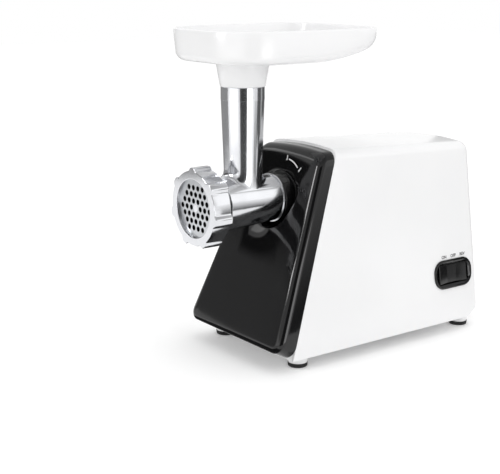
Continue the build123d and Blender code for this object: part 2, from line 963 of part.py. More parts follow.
def wheel_sketch(module, teeth, axis, pinion_axis):
    """Wheel with a gap on the line of centres."""
    turn = heading(axis, pinion_axis) + 180 / teeth
    return gear_sketch(module, teeth, -profile_shift, wheel_addendum, turn)


def compound_gear(axis, pinion, pinion_front, wheel, wheel_front, wheel_rear):
    """Wheel and pinion in one, on a hub that runs between the two case walls."""
    gear = prism(axis, pinion, pinion_front, wheel_front)
    gear += prism(axis, wheel, wheel_front, wheel_rear)
    gear += rod(axis, gear_hub_radius, case_front + fit_gap, case_inside - fit_gap)
    return gear - rod(axis, gear_pin_radius + running_gap, case_front, case_inside)


def make_first_gear():
    pinion = pinion_sketch(module_2, pinion_2, first_axis, second_axis)
    wheel = wheel_sketch(module_1, wheel_1, first_axis, motor_axis)
    return compound_gear(first_axis, pinion, row_2, wheel, row_1, row_1 + face_1)


def make_second_gear():
    pinion = pinion_sketch(module_3, pinion_3, second_axis, output_axis)
    wheel = wheel_sketch(module_2, wheel_2, second_axis, first_axis)
    return compound_gear(second_axis, pinion, row_3, wheel, row_2, row_2 + face_2)


def make_gear_pin(axis):
    return rod(axis, gear_pin_radius, case_front - pin_seat, case_inside + pin_seat / 2)


def make_output_gear():
    wheel = wheel_sketch(module_3, wheel_3, output_axis, second_axis)
    return prism(output_axis, wheel - Circle(shaft_radius + screw_gap), row_3, row_3 + face_3)


hub_front = flange_rear + shaft_gap
socket_rear = flange_rear + fit_gap + tail_length + fit_gap
rear_bush_end = case_rear + bush_stand_out


def make_output_shaft():
    shoulder = row_3 + face_3 + fit_gap
    profile = [
        (hub_front, 0),
        (hub_front, hub_radius),
        (cover_front - fit_gap, hub_radius),
        (cover_front - fit_gap, shaft_radius),
        (shoulder, shaft_radius),
        (shoulder, shaft_collar_radius),
        (case_inside - fit_gap, shaft_collar_radius),
        (case_inside - fit_gap, shaft_rear_radius),
        (rear_bush_end, shaft_rear_radius),
        (rear_bush_end, 0),
    ]
    socket = RegularPolygon(tail_across / 2 + screw_gap, 6, major_radius=False)
    return turned(profile, output_axis) - prism(output_axis, socket, hub_front, socket_rear)


def make_output_front_bush():
    inner = shaft_radius + running_gap
    return ring(output_axis, shaft_radius + bush_wall, inner, cover_front, case_front)


def make_output_rear_bush():
    inner = shaft_rear_radius + running_gap
    return ring(output_axis, shaft_rear_radius + bush_wall, inner, case_inside, rear_bush_end)


# Gear case


def case_hull(margin):
    """Outline round the three wheels and the motor's pinion."""
    circles = [
        Pos(*output_axis) * Circle(output_reach + margin),
        Pos(*second_axis) * Circle(second_reach + margin),
        Pos(*first_axis) * Circle(first_reach + margin),
        Pos(*motor_axis) * Circle(bearing_boss_radius + margin),
    ]
    edges = [edge for circle in circles for edge in circle.edges()]
    return make_hull(edges)


ear_reach = case_wall + ear_radius - ear_bite
high_ears = [beside(output_axis, output_reach + ear_reach, angle) for angle in (ear_rise, 180 - ear_rise)]
low_reach = bearing_boss_radius + ear_reach
low_ears = [beside(motor_axis, low_reach, angle) for angle in (-ear_drop, ear_drop - 180)]
ear_axes = high_ears + low_ears
bolt_axes = [(motor_x + side * motor_bolt_spread / 2, motor_z) for side in (-1, 1)]


def case_outline():
    outline = case_hull(case_wall)
    for axis in ear_axes:
        outline += Pos(*axis) * Circle(ear_radius)
    return outline


def make_gear_case():
    case = prism((0, 0), case_outline(), case_front, case_rear)
    flange_half = motor_bolt_spread / 2 + pillar_radius
    case += block(
        (motor_x - flange_half, motor_x + flange_half),
        (case_rear - 2 * case_wall, case_rear),
        (motor_z - 2 * pillar_radius, motor_z + 2 * pillar_radius),
    )
    for side in (-1, 1):
        leg_x = motor_x + side * leg_spread / 2
        case += block(
            (leg_x - leg_width / 2, leg_x + leg_width / 2), (case_front, case_rear), (base_top, motor_z)
        )
    for axis in bolt_axes:
        case += rod(axis, pillar_radius, case_rear, stator_front)
    case += rod(motor_axis, bearing_boss_radius, case_rear, bearing_rear)
    case += rod(output_axis, shaft_rear_radius + 2 * bush_wall, case_rear, rear_bush_end)
    case -= prism((0, 0), case_hull(0), case_front, case_inside)
    case -= rod(motor_axis, bearing_radius + screw_gap, bearing_front, bearing_rear)
    case -= rod(motor_axis, motor_shaft_radius + shaft_clearance, case_inside, case_rear)
    case -= rod(output_axis, shaft_rear_radius + bush_wall + screw_gap, case_inside, rear_bush_end)
    for axis in (first_axis, second_axis):
        case -= rod(axis, gear_pin_radius + screw_gap, case_inside, case_inside + pin_seat / 2 + fit_gap)
    for axis in ear_axes:
        case -= rod(axis, screw_radius + screw_gap, case_front, case_front + screw_length)
    for axis in bolt_axes:
        case -= rod(axis, motor_bolt_radius + screw_gap, case_rear - case_wall, stator_front)
    for x, y in leg_places:
        hole = screw_radius + screw_gap
        case -= upright(x, y, hole, hole, base_top, base_top + screw_length)
    return case


def make_gear_case_cover():
    cover = prism((0, 0), case_outline(), cover_front, case_front)
    cover -= rod(output_axis, shaft_radius + bush_wall + screw_gap, cover_front, case_front)
    for axis in (first_axis, second_axis):
        cover -= rod(axis, gear_pin_radius + screw_gap, case_front - pin_seat - fit_gap, case_front)
    for axis in ear_axes + collar_screw_axes:
        cover -= rod(axis, screw_radius + screw_gap, cover_front, case_front)
    return cover


# Motor


def make_stator_core():
    outline = RectangleRounded(stator_width, stator_height, stator_round)
    bore = armature_radius + air_gap
    outline -= Circle(bore)
    for middle in (90, 270):
        outline -= sector(bore / 2, bore + window_depth, *around(middle, window_span))
    for axis in bolt_axes:
        offset_x = axis[0] - motor_x
        outline -= Pos(offset_x, 0) * Circle(motor_bolt_radius + screw_gap)
    return prism(motor_axis, outline, stator_front, stator_rear)


def make_field_coil(side):
    """Coil round one pole: two runs through the windows, joined by an arc at each end."""
    inner = armature_radius + air_gap + coil_gap
    outer = armature_radius + air_gap + window_depth - coil_gap
    middle = 180 if side < 0 else 0
    low = middle - coil_reach
    high = middle + coil_reach
    arc = sector(inner, outer, low, high)
    runs = sector(inner, outer, low, low + coil_run) + sector(inner, outer, high - coil_run, high)
    front = stator_front - coil_gap
    rear = stator_rear + coil_gap
    coil = prism(motor_axis, runs, front, rear)
    coil += prism(motor_axis, arc, front - coil_overhang, front)
    return coil + prism(motor_axis, arc, rear, rear + coil_overhang)


def make_armature_core():
    outline = Circle(armature_radius)
    for k in range(armature_slots):
        slot = Pos(armature_radius, 0) * Rectangle(2 * slot_depth, slot_width)
        outline -= Rot(0, 0, k * 360 / armature_slots) * slot
    outline -= Circle(motor_shaft_radius + screw_gap)
    return prism(motor_axis, outline, stator_front, stator_rear)


def make_armature_windings():
    bore = motor_shaft_radius + screw_gap
    front = ring(motor_axis, winding_radius, bore, stator_front - coil_overhang, stator_front)
    rear = ring(motor_axis, winding_radius, bore, stator_rear, stator_rear + winding_length)
    return Compound(children=[front, rear])


def make_armature_shaft():
    step = row_1 + face_1 + shaft_step
    rear = bracket_front + bearing_width
    profile = [
        (row_1, 0),
        (row_1, pinion_bore - screw_gap),
        (step, pinion_bore - screw_gap),
        (step, motor_shaft_radius),
        (rear, motor_shaft_radius),
        (rear, 0),
    ]
    return turned(profile, motor_axis)


def make_motor_pinion():
    pinion = pinion_sketch(module_1, pinion_1, motor_axis, first_axis)
    return prism(motor_axis, pinion - Circle(pinion_bore), row_1, row_1 + face_1)


def make_commutator():
    riser_rear = commutator_front + riser_length
    profile = [
        (commutator_front - commutator_gap, motor_shaft_radius + screw_gap),
        (commutator_front - commutator_gap, riser_radius),
        (riser_rear, riser_radius),
        (riser_rear, commutator_radius),
        (commutator_rear, commutator_radius),
        (commutator_rear, motor_shaft_radius + screw_gap),
    ]
    return turned(profile, motor_axis)


fan_radius = motor_bolt_spread / 2 - pillar_radius - fan_gap


def make_cooling_fan():
    plate = Circle(fan_radius) - Circle(motor_shaft_radius + screw_gap)
    fan = prism(motor_axis, plate, fan_front, fan_front + fan_plate)
    hub = Circle(fan_hub_radius) - Circle(motor_shaft_radius + screw_gap)
    fan += prism(motor_axis, hub, fan_front, fan_rear)
    inlet = fan_hub_radius + fan_inlet
    for k in range(fan_blades):
        blade = Pos((fan_radius + inlet) / 2, 0) * Rectangle(fan_radius - inlet, fan_plate)
        fan += prism(motor_axis, Rot(0, 0, k * 360 / fan_blades) * blade, fan_front, fan_rear)
    return fan


def make_bearing(front):
    return ring(motor_axis, bearing_radius, motor_shaft_radius + running_gap, front, front + bearing_width)


def make_motor_bracket():
    half_tall = bracket_height / 2
    arm_inside = motor_bolt_spread / 2 + pillar_radius
    arm_outside = arm_inside + bracket_thickness
    waist_inside = brush_outside + screw_gap + spring_thickness + web_gap
    waist = waist_inside + bracket_thickness
    web_front = stator_rear + coil_gap + coil_overhang + web_gap
    web_rear = web_front + bracket_thickness
    z_span = (motor_z - half_tall, motor_z + half_tall)
    bracket = block((motor_x - waist, motor_x + waist), (bracket_front, bracket_rear), z_span)
    seat_rear = bracket_front + bearing_width
    bracket += rod(motor_axis, bearing_boss_radius, bracket_front, seat_rear + bracket_thickness)
    for side in (-1, 1):
        ear = side_span(side, arm_inside - 2 * pillar_radius, arm_outside)
        bracket += block(ear, (stator_rear, stator_rear + bracket_thickness), z_span)
        bracket += block(side_span(side, arm_inside, arm_outside), (stator_rear, web_rear), z_span)
        bracket += block(side_span(side, waist_inside, arm_outside), (web_front, web_rear), z_span)
        bracket += block(side_span(side, waist_inside, waist), (web_front, bracket_rear), z_span)
    foot = base_top + buffer_height
    bracket += block(
        (motor_x - half_tall, motor_x + half_tall), (bracket_front, bracket_rear), (foot, motor_z)
    )
    bracket += block(
        (motor_x - half_tall, motor_x + half_tall),
        (bracket_rear - buffer_length, bracket_rear),
        (foot, foot + bracket_thickness),
    )
    bracket -= rod(motor_axis, bearing_radius + screw_gap, bracket_front, seat_rear)
    for axis in bolt_axes:
        bracket -= rod(axis, motor_bolt_radius + screw_gap, stator_rear, stator_rear + bracket_thickness)
    return bracket


def make_motor_bolts():
    bolts = []
    for axis in bolt_axes:
        seat = stator_rear + bracket_thickness
        bolt = rod(axis, motor_bolt_radius, case_rear - case_wall + fit_gap, seat)
        bolts.append(bolt + rod(axis, motor_bolt_head, seat, seat + screw_head_height))
    return Compound(children=bolts)


def make_motor_buffer():
    half = bracket_height / 2
    return block(
        (motor_x - half, motor_x + half),
        (bracket_rear - buffer_length, bracket_rear),
        (base_top, base_top + buffer_height),
    )


brush_y = (commutator_front + riser_length + commutator_rear) / 2
brush_inside = commutator_radius + running_gap
brush_outside = brush_inside + brush_length


def side_span(side, near, far):
    """X limits on one side of the motor's axis."""
    return sorted((motor_x + side * near, motor_x + side * far))


def make_carbon_brush(side):
    half = brush_side / 2
    return block(
        side_span(side, brush_inside, brush_outside),
        (brush_y - half, brush_y + half),
        (motor_z - half, motor_z + half),
    )


def make_brush_holder(side):
    clear = brush_side / 2 + screw_gap
    half = clear + holder_wall
    near = brush_inside + holder_gap
    far = near + holder_length
    span = side_span(side, near, far)
    holder = block(span, (brush_y - half, bracket_front), (motor_z - half, motor_z + half))
    return holder - block(span, (brush_y - clear, brush_y + clear), (motor_z - clear, motor_z + clear))


def make_brush_spring(side):
    half = spring_width / 2
    near = brush_outside + screw_gap
    return block(
        side_span(side, near, near + spring_thickness),
        (brush_y - half, bracket_front),
        (motor_z - half, motor_z + half),
    )


# Switch

rocker_plane = Plane(
    origin=switch_plane.origin - switch_plane.z_dir * rocker_pivot_depth,
    x_dir=switch_plane.x_dir,
    z_dir=-switch_plane.y_dir,
)
rocker_reach = window_length / 2 - rocker_gap
rocker_half = window_width / 2 - rocker_gap


def make_switch_bezel():
    bezel = on_switch(RectangleRounded(bezel_length, bezel_width, bezel_round), 0, bezel_stand_out)
    top = bezel.faces().sort_by(Axis((0, 0, 0), switch_plane.z_dir))[-1]
    bezel = fillet(top.edges(), bezel_stand_out / 2)
    bezel += on_switch(RectangleRounded(sleeve_length, sleeve_width, sleeve_round), -bezel_sleeve_depth, 0)
    bezel -= on_switch(
        RectangleRounded(window_length, window_width, window_round), -bezel_sleeve_depth, bezel_stand_out
    )
    pivot = rocker_plane * Circle(trunnion_radius + running_gap)
    return bezel - extrude(pivot, rocker_half + rocker_gap + trunnion_length + fit_gap, both=True)


def make_switch_rocker():
    """Rocker with a dished face; its ends follow a circle about the pivot."""
    crest = rocker_pivot_depth + rocker_stand_out
    face = Polyline(
        (-rocker_reach, crest),
        (-rocker_flat / 2, crest - rocker_dip),
        (rocker_flat / 2, crest - rocker_dip),
        (rocker_reach, crest),
        (rocker_reach, 0),
        (0, -rocker_belly),
        (-rocker_reach, 0),
        close=True,
    )
    outline = make_face(face) & Circle(rocker_reach)
    rocker = extrude(rocker_plane * outline, rocker_half, both=True)
    plan = RectangleRounded(2 * rocker_reach, 2 * rocker_half, window_round)
    rocker &= on_switch(plan, -bezel_sleeve_depth, 2 * rocker_stand_out)
    return rocker + extrude(
        rocker_plane * Circle(trunnion_radius), rocker_half + rocker_gap + trunnion_length, both=True
    )


def make_switch_body():
    shape = RectangleRounded(sleeve_length, sleeve_width, sleeve_round)
    return on_switch(shape, -bezel_sleeve_depth - switch_body_depth, -bezel_sleeve_depth)


def make_switch_terminals():
    low = -bezel_sleeve_depth - switch_body_depth
    blades = []
    for k in range(terminal_count):
        offset = (k - (terminal_count - 1) / 2) * terminal_pitch
        blade = Pos(offset, 0) * Rectangle(terminal_thickness, terminal_width)
        blades.append(on_switch(blade, low - terminal_length, low))
    return Compound(children=blades)


sides = {"left": -1, "right": 1}
foot_names = ("front_left", "front_right", "rear_left", "rear_right")

pieces = {
    "housing_shell": make_housing_shell(),
    "base_plate": make_base_plate(),
    "base_screws": screws_up(post_places),
    "case_screws": screws_up(leg_places),
    "cord_gland": make_cord_gland(),
    "front_panel": make_front_panel(),
    "bayonet_collar": make_bayonet_collar(),
    "collar_screws": screws_back(collar_screw_axes, collar_seat, case_front - fit_gap),
    "head_casting": make_head_casting(),
    "plate_key": make_plate_key(),
    "auger_bush": make_auger_bush(),
    "cutting_plate": make_cutting_plate(),
    "ring_nut": make_ring_nut(),
    "auger": make_auger(),
    "knife": make_knife(),
    "hopper_tray": make_hopper_tray(),
    "first_gear": make_first_gear(),
    "second_gear": make_second_gear(),
    "first_gear_pin": make_gear_pin(first_axis),
    "second_gear_pin": make_gear_pin(second_axis),
    "output_gear": make_output_gear(),
    "output_shaft": make_output_shaft(),
    "output_front_bush": make_output_front_bush(),
    "output_rear_bush": make_output_rear_bush(),
    "gear_case": make_gear_case(),
    "gear_case_cover": make_gear_case_cover(),
    "cover_screws": screws_back(ear_axes, cover_front, case_front + screw_length - fit_gap),
    "stator_core": make_stator_core(),
    "armature_core": make_armature_core(),
    "armature_windings": make_armature_windings(),
    "armature_shaft": make_armature_shaft(),
    "motor_pinion": make_motor_pinion(),
    "commutator": make_commutator(),
    "cooling_fan": make_cooling_fan(),
    "front_bearing": make_bearing(bearing_front),
    "rear_bearing": make_bearing(bracket_front),
    "motor_bracket": make_motor_bracket(),
    "motor_bolts": make_motor_bolts(),
    "motor_buffer": make_motor_buffer(),
    "switch_bezel": make_switch_bezel(),
    "switch_rocker": make_switch_rocker(),
    "switch_body": make_switch_body(),
    "switch_terminals": make_switch_terminals(),
}
for name, (x, y) in zip(foot_names, foot_places):
    pieces["foot_pad_" + name] = make_foot_pad(x, y)
for name, side in sides.items():
    pieces["field_coil_" + name] = make_field_coil(side)
    pieces["brush_holder_" + name] = make_brush_holder(side)
    pieces["carbon_brush_" + name] = make_carbon_brush(side)
    pieces["brush_spring_" + name] = make_brush_spring(side)

os.makedirs("parts", exist_ok=True)
for name, shape in pieces.items():
    export_step(shape, "parts/" + name + ".step")
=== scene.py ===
# %% [markdown]
# # An electric meat grinder
#
# The CAD model comes in as separate named solids in one fixed frame, in metres. This lesson gives every
# piece that shows a smooth surface and a finish, and leaves the solids themselves where they are.

# %% Load the frame
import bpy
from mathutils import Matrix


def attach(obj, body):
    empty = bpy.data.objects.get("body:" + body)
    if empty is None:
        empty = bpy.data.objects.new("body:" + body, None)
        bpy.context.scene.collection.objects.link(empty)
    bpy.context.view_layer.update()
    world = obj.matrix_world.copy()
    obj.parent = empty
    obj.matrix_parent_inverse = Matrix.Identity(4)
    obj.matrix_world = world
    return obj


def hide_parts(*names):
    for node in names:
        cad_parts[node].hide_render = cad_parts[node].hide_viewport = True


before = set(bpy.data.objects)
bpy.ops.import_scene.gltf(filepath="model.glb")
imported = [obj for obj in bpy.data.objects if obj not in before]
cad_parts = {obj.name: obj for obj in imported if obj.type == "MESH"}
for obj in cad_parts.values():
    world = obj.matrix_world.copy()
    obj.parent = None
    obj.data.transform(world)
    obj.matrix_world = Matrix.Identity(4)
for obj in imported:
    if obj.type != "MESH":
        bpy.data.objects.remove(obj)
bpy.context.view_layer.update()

# %% [markdown]
# ## Camera
#
# A product photographer stands well back with a long lens, so that the sides stay nearly parallel. The
# camera below was found from edges whose directions are known. Its three axes are built from two angles,
# because a matrix of axes can't roll by accident.

# %% Camera
import math
import bmesh
import bpy
from mathutils import Matrix, Vector

scene = bpy.context.scene
scene.view_settings.view_transform = "Standard"
AZIMUTH, ELEVATION = 53.687, 13.652
EYE = Vector((0.85849, -0.72472, 0.37836))
LENS, SENSOR = 79.12, 36.0


def add_object(name, data):
    """A new object in the scene."""
    made = bpy.data.objects.new(name, data)
    scene.collection.objects.link(made)
    return made


def heading(side, rise=0.0):
    """The direction at degrees to the right of the camera and up from the table."""
    turn = math.radians(AZIMUTH) + math.radians(side)
    rise = math.radians(rise)
    return Vector((math.sin(turn) * math.cos(rise), -math.cos(turn) * math.cos(rise), math.sin(rise)))


view_back = heading(0, ELEVATION)
view_right = heading(90)
view_up = view_back.cross(view_right)
view_axes = Matrix((view_right, view_up, view_back)).transposed().to_4x4()
camera = add_object("camera", bpy.data.cameras.new("camera"))
camera.data.sensor_width = SENSOR
camera.data.lens = LENS
camera.matrix_world = Matrix.Translation(EYE) @ view_axes
scene.camera = camera
print("camera at", [round(c, 3) for c in EYE], "lens", LENS, "mm")

# %% [markdown]
# ## Two helpers for shader nodes
#
# Colours are written as the hex values that a colour picker shows. Shaders work in linear light, so one
# function turns the first into the second. The other adds a shader node, sets what is constant and links
# the rest.

# %% Colour and node helpers
def linear(code):
    """Linear RGBA of an sRGB hex code."""
    channels = [int(code[k : k + 2], 16) / 255 for k in (1, 3, 5)]
    return [c / 12.92 if c <= 0.04045 else ((c + 0.055) / 1.055) ** 2.4 for c in channels] + [1.0]


def add_node(tree, kind, inputs=(), **settings):
    """A shader node with its settings; each input takes a value or another node's output."""
    node = tree.nodes.new("ShaderNode" + kind)
    for name, value in settings.items():
        setattr(node, name, value)
    for name, value in dict(inputs).items():
        if isinstance(value, bpy.types.NodeSocket):
            tree.links.new(value, node.inputs[name])
        else:
            node.inputs[name].default_value = value
    return node


print("white is", [round(c, 3) for c in linear("#F4F4F4")])

# %% [markdown]
# ## Tent and floor
#
# A white tent lights the whole object evenly. Light Path tells which kind of ray looks at it: the eye sees
# plain white, and a mirror sees a tent that darkens overhead. The floor is white paper, and only the eye
# and mirrors see its glow, so the background is white with no more light on the object.

# %% Tent
TENT_LEVEL = 0.98
CEILING = {"From Min": 0.15, "From Max": 0.9, "To Min": 1.0, "To Max": 0.4}
WHITE = (1, 1, 1, 1)
world = bpy.data.worlds.new("white_tent")
scene.world = world
world.use_nodes = True
tent = world.node_tree
rays = add_node(tent, "LightPath").outputs
direction = add_node(tent, "SeparateXYZ", {0: add_node(tent, "TexCoord").outputs["Generated"]})
ceiling = add_node(tent, "MapRange", {"Value": direction.outputs["Z"], **CEILING})
mirrored = add_node(tent, "Mix", {0: rays["Is Glossy Ray"], 2: TENT_LEVEL, 3: ceiling.outputs[0]})
direct = {0: rays["Is Camera Ray"], 1: rays["Is Transmission Ray"]}
seen = add_node(tent, "Math", direct, operation="MAXIMUM")
level = add_node(tent, "Mix", {0: seen.outputs[0], 2: mirrored.outputs[0], 3: 1.0})
tent.links.new(level.outputs[0], tent.nodes["Background"].inputs["Strength"])
tent.nodes["Background"].inputs["Color"].default_value = WHITE
print("tent lights at", TENT_LEVEL)

# %% Floor
FLOOR_SIZE, FLOOR_Z = 9.0, -0.0002
PAPER_GLOW = 0.17


def new_material(name):
    """A material and its node tree."""
    material = bpy.data.materials.new(name)
    material.use_nodes = True
    return material, material.node_tree


# Uncoated paper: an even white with no highlight.
paper, sheet = new_material("paper_floor")
rays = add_node(sheet, "LightPath").outputs
direct = {0: rays["Is Camera Ray"], 1: rays["Is Glossy Ray"]}
seen = add_node(sheet, "Math", direct, operation="MAXIMUM")
seen = add_node(sheet, "Math", {0: seen.outputs[0], 1: rays["Is Transmission Ray"]}, operation="MAXIMUM")
glow = add_node(sheet, "Math", {0: seen.outputs[0], 1: PAPER_GLOW}, operation="MULTIPLY")
shader = sheet.nodes["Principled BSDF"]
dull = {"Base Color": linear("#F2F2F2"), "Roughness": 0.9, "Specular IOR Level": 0.0, "Emission Color": WHITE}
for socket, value in dull.items():
    shader.inputs[socket].default_value = value
sheet.links.new(glow.outputs[0], shader.inputs["Emission Strength"])


def trapezium(low_half, low, high_half, high):
    """Corners of a shape with a level foot and top, counter-clockwise."""
    return [(-low_half, low), (low_half, low), (high_half, high), (-high_half, high)]


def box_corners(width, height):
    """Corners of a rectangle about its middle."""
    return trapezium(width / 2, -height / 2, width / 2, height / 2)


def stage_card(name, points, faces, material):
    """A card of the stage."""
    mesh = bpy.data.meshes.new(name)
    mesh.from_pydata(points, [], faces)
    mesh.materials.append(material)
    made = add_object(name, mesh)
    print("card:", name)
    return made


floor_points = [(x, y, FLOOR_Z) for x, y in box_corners(FLOOR_SIZE, FLOOR_SIZE)]
stage_card("floor", floor_points, [(0, 1, 2, 3)], paper)

# %% [markdown]
# ## Lamps
#
# Three large soft lamps, from the right, the left and above, give the white body its form. Mirrors don't
# see them: what shines in the metal is left to cards, so each can be set without the other.

# %% Lamps
LAMP_AIM = Vector((0, 0, 0.15))


def lamp(name, side, rise, distance, size, power):
    """A square soft lamp, aimed at the part."""
    data = bpy.data.lights.new(name, "AREA")
    data.size = size
    data.energy = power
    outward = heading(side, rise)
    facing = outward.to_track_quat("Z", "Y").to_matrix().to_4x4()
    made = add_object(name, data)
    made.matrix_world = Matrix.Translation(LAMP_AIM + outward * distance) @ facing
    made.visible_glossy = False
    print("lamp", name, "at", power, "W")


lamp("key_right", side=48, rise=30, distance=1.7, size=0.9, power=1.9)
lamp("fill_left", side=-62, rise=18, distance=1.7, size=0.9, power=1.5)
lamp("top", side=0, rise=84, distance=1.6, size=0.8, power=2.4)

# %% [markdown]
# ## Cards for the mirrors
#
# Bright metal and black gloss show only what stands round them. Dark flags put the grey bands on the tube
# and keep the panel calm, and bright strips make the white bands and the two light lines on the panel's
# edge. A dark card on the floor shades the underside of the barrel. Only mirrors see any of them.

# %% A card and its level
MM = 0.001
TUBE_Y = -102.3
CARD_DISTANCE, NEAR_DISTANCE = 0.55, 0.54
CARD_RAMP = (0.05, 0.3)
CARD_STEPS = 8


def card_material(name, levels, ramp=CARD_RAMP):
    """A shine whose level changes between two heights."""
    material, tree = new_material(name)
    height = add_node(tree, "SeparateXYZ", {0: add_node(tree, "TexCoord").outputs["Object"]}).outputs["Z"]
    limits = {"From Min": ramp[0], "From Max": ramp[1], "To Min": levels[0], "To Max": levels[1]}
    strength = add_node(tree, "MapRange", {"Value": height, **limits}).outputs[0]
    shine = add_node(tree, "Emission", {"Strength": strength})
    tree.links.new(shine.outputs[0], tree.nodes["Material Output"].inputs["Surface"])
    return material


def mirror_only(made):
    """Hides a card from everything but mirrors."""
    made.visible_camera = made.visible_diffuse = made.visible_shadow = False


def flag(name, angles, heights, levels, ramp=CARD_RAMP, distance=CARD_DISTANCE):
    """A curved card about the feed tube, between two angles."""
    points, faces = [], []
    for k in range(CARD_STEPS + 1):
        angle = angles[0] + (angles[1] - angles[0]) * k / CARD_STEPS
        side = Vector((0, TUBE_Y * MM, 0)) + heading(angle) * distance
        points += [side + Vector((0, 0, height)) for height in heights]
    for k in range(CARD_STEPS):
        faces.append((2 * k, 2 * k + 2, 2 * k + 3, 2 * k + 1))
    mirror_only(stage_card(name, points, faces, card_material(name + "_card", levels, ramp)))


# %% Flags and strips
# Each row gives angles in degrees, heights in metres, and levels at the foot and top of the ramp.
flag("flag_camera", (-15, 23), (0.0, 0.6), (0.08, 0.04))
flag("flag_right", (63, 80), (0.0, 0.24), (0.1, 1.0), ramp=(0.03, 0.22))
flag("flag_far_right", (80, 150), (0.0, 0.29), (0.08, 0.14))
flag("flag_left", (-140, -82), (0.09, 0.41), (0.32, 0.03), ramp=(0.22, 0.31))
flag("flag_far_left", (-176, -140), (0.0, 0.3), (0.3, 0.3))
flag("strip_left", (-70, -26), (0.1, 0.25), (1.6, 1.6))
flag("strip_edge", (-80, -61), (0.31, 0.62), (10.0, 10.0))
flag("strip_right", (24, 48), (0.04, 0.27), (3.5, 3.5))
flag("strip_far_right", (106, 116), (0.13, 0.29), (0.5, 0.5), distance=NEAR_DISTANCE)
flag("strip_switch", (82, 93), (0.0, 0.11), (0.9, 0.9), distance=NEAR_DISTANCE)
flag("strip_high", (-134, -104), (0.46, 0.56), (2.0, 2.0))
flag("strip_barrel", (58, 92), (0.25, 0.58), (1.3, 1.3))

FOOT_X, FOOT_Y, FOOT_Z = -0.02, -0.19, 0.0004
foot_points = [(FOOT_X + x, FOOT_Y + y, FOOT_Z) for x, y in box_corners(0.24, 0.16)]
foot_material = card_material("flag_foot_card", (0.06, 0.06))
mirror_only(stage_card("flag_foot", foot_points, [(0, 1, 2, 3)], foot_material))

# %% [markdown]
# ## Finishes
#
# Each finish is one real material and one real process. They all start from the same recipe: a slow
# change of tone, a slow change of gloss and a fine grain pressed in as bump, each with its size in
# millimetres. What differs is the numbers, because a mould, a polishing wheel and a grinder leave marks
# of different sizes.

# %% Recipe for a finish
PLASTIC_IOR = 1.5


def finish(name, tones, gloss, tone_mm, grain_mm, grain_depth, metallic=0.0, stretch=(1, 1, 1)):
    """A material whose tone, roughness and grain change over given millimetres."""
    material, tree = new_material(name)
    place = add_node(tree, "TexCoord").outputs["Object"]
    patches = {"Vector": place, "Scale": 1 / (tone_mm * MM), "Detail": 3.0}
    slow = add_node(tree, "TexNoise", patches).outputs["Fac"]
    blend = {0: slow, 6: linear(tones[0]), 7: linear(tones[1])}
    tone = add_node(tree, "Mix", blend, data_type="RGBA").outputs[2]
    rough = add_node(tree, "MapRange", {"Value": slow, "To Min": gloss[0], "To Max": gloss[1]}).outputs[0]
    drawn = add_node(tree, "Mapping", {"Vector": place, "Scale": stretch}).outputs[0]
    marks = {"Vector": drawn, "Scale": 1 / (grain_mm * MM), "Detail": 2.0}
    grain = add_node(tree, "TexNoise", marks).outputs["Fac"]
    bump = add_node(tree, "Bump", {"Height": grain, "Distance": grain_depth * MM}).outputs[0]
    shader = tree.nodes["Principled BSDF"]
    for socket, value in (("Base Color", tone), ("Roughness", rough), ("Normal", bump)):
        tree.links.new(value, shader.inputs[socket])
    shader.inputs["Metallic"].default_value = metallic
    if not metallic:
        shader.inputs["IOR"].default_value = PLASTIC_IOR
    print("finish:", name)
    return material


# %% Plastics and rubber
# Each row: two tones, the range of roughness, then patch size, grain size and grain depth in mm.
# White ABS from a polished mould: clean highlights over a body that is never quite one white.
white_abs = finish("white_abs_moulded", ("#F6F6F6", "#F1F1F2"), (0.16, 0.24), 60, 9, 0.006)
# Black ABS from a mirror mould: near-black that takes its look from what it reflects.
black_abs = finish("black_abs_piano_gloss", ("#0B0B0C", "#101011"), (0.05, 0.10), 45, 14, 0.006)
# Black nylon with a spark-eroded grain: a soft grey sheen instead of a mirror.
black_nylon = finish("black_nylon_satin", ("#111112", "#171718"), (0.32, 0.42), 12, 0.5, 0.01)
# Black nylon from a smooth mould: each facet mirrors its own patch of the room, a little blurred.
smooth_nylon = finish("black_nylon_smooth", ("#0C0C0D", "#121213"), (0.14, 0.22), 12, 6, 0.006)
# Natural nylon: a warm milky white with a waxy surface.
natural_nylon = finish("natural_nylon_moulded", ("#E9E3D2", "#DED7C4"), (0.38, 0.48), 15, 0.8, 0.01)
# Glass-filled nylon: dark grey, with short fibres that break the gloss.
grey_nylon = finish("grey_nylon_glass_filled", ("#5A5B5E", "#4B4C4F"), (0.45, 0.58), 6, 0.4, 0.015)
# Moulded rubber: black without a highlight edge.
rubber = finish("black_rubber_moulded", ("#151515", "#1D1D1D"), (0.68, 0.82), 5, 0.6, 0.02)
# Pressed carbon: a dull black with a faint grain.
carbon = finish("carbon_pressed", ("#2A2A2B", "#353536"), (0.5, 0.62), 3, 0.3, 0.01)

# %% Metals
METAL = 1.0
# Polished cast aluminium: a mirror with the slow waves that a buffing wheel leaves.
cast_aluminium = finish("cast_aluminium_polished", ("#E4E5E8", "#D6D7DA"), (0.10, 0.18), 22, 7, 0.012, METAL)
# Ground stainless steel: lines drawn one way by the grinding wheel.
stainless_steel = finish(
    "stainless_steel_ground", ("#CFD1D4", "#C0C2C5"), (0.28, 0.38), 10, 0.6, 0.006, METAL,
    stretch=(0.05, 1, 1),
)
# The same steel, dark and rough, for the plate's side walls: painted shade that makes the walls of the holes
# look black.
bore_shade_steel = finish("stainless_steel_painted_bore_shade", ("#2C2C2D", "#3A3A3B"), (0.5, 0.6), 3, 0.3, 0.01, METAL)
# Zinc-plated turned steel: bright and slightly blue.
bright_steel = finish("steel_zinc_plated", ("#C3C6CA", "#B2B5B9"), (0.22, 0.32), 6, 0.3, 0.004, METAL)
# Sintered steel: grey and porous.
sintered_steel = finish("steel_sintered", ("#8E9093", "#7C7E81"), (0.42, 0.55), 4, 0.25, 0.015, METAL)
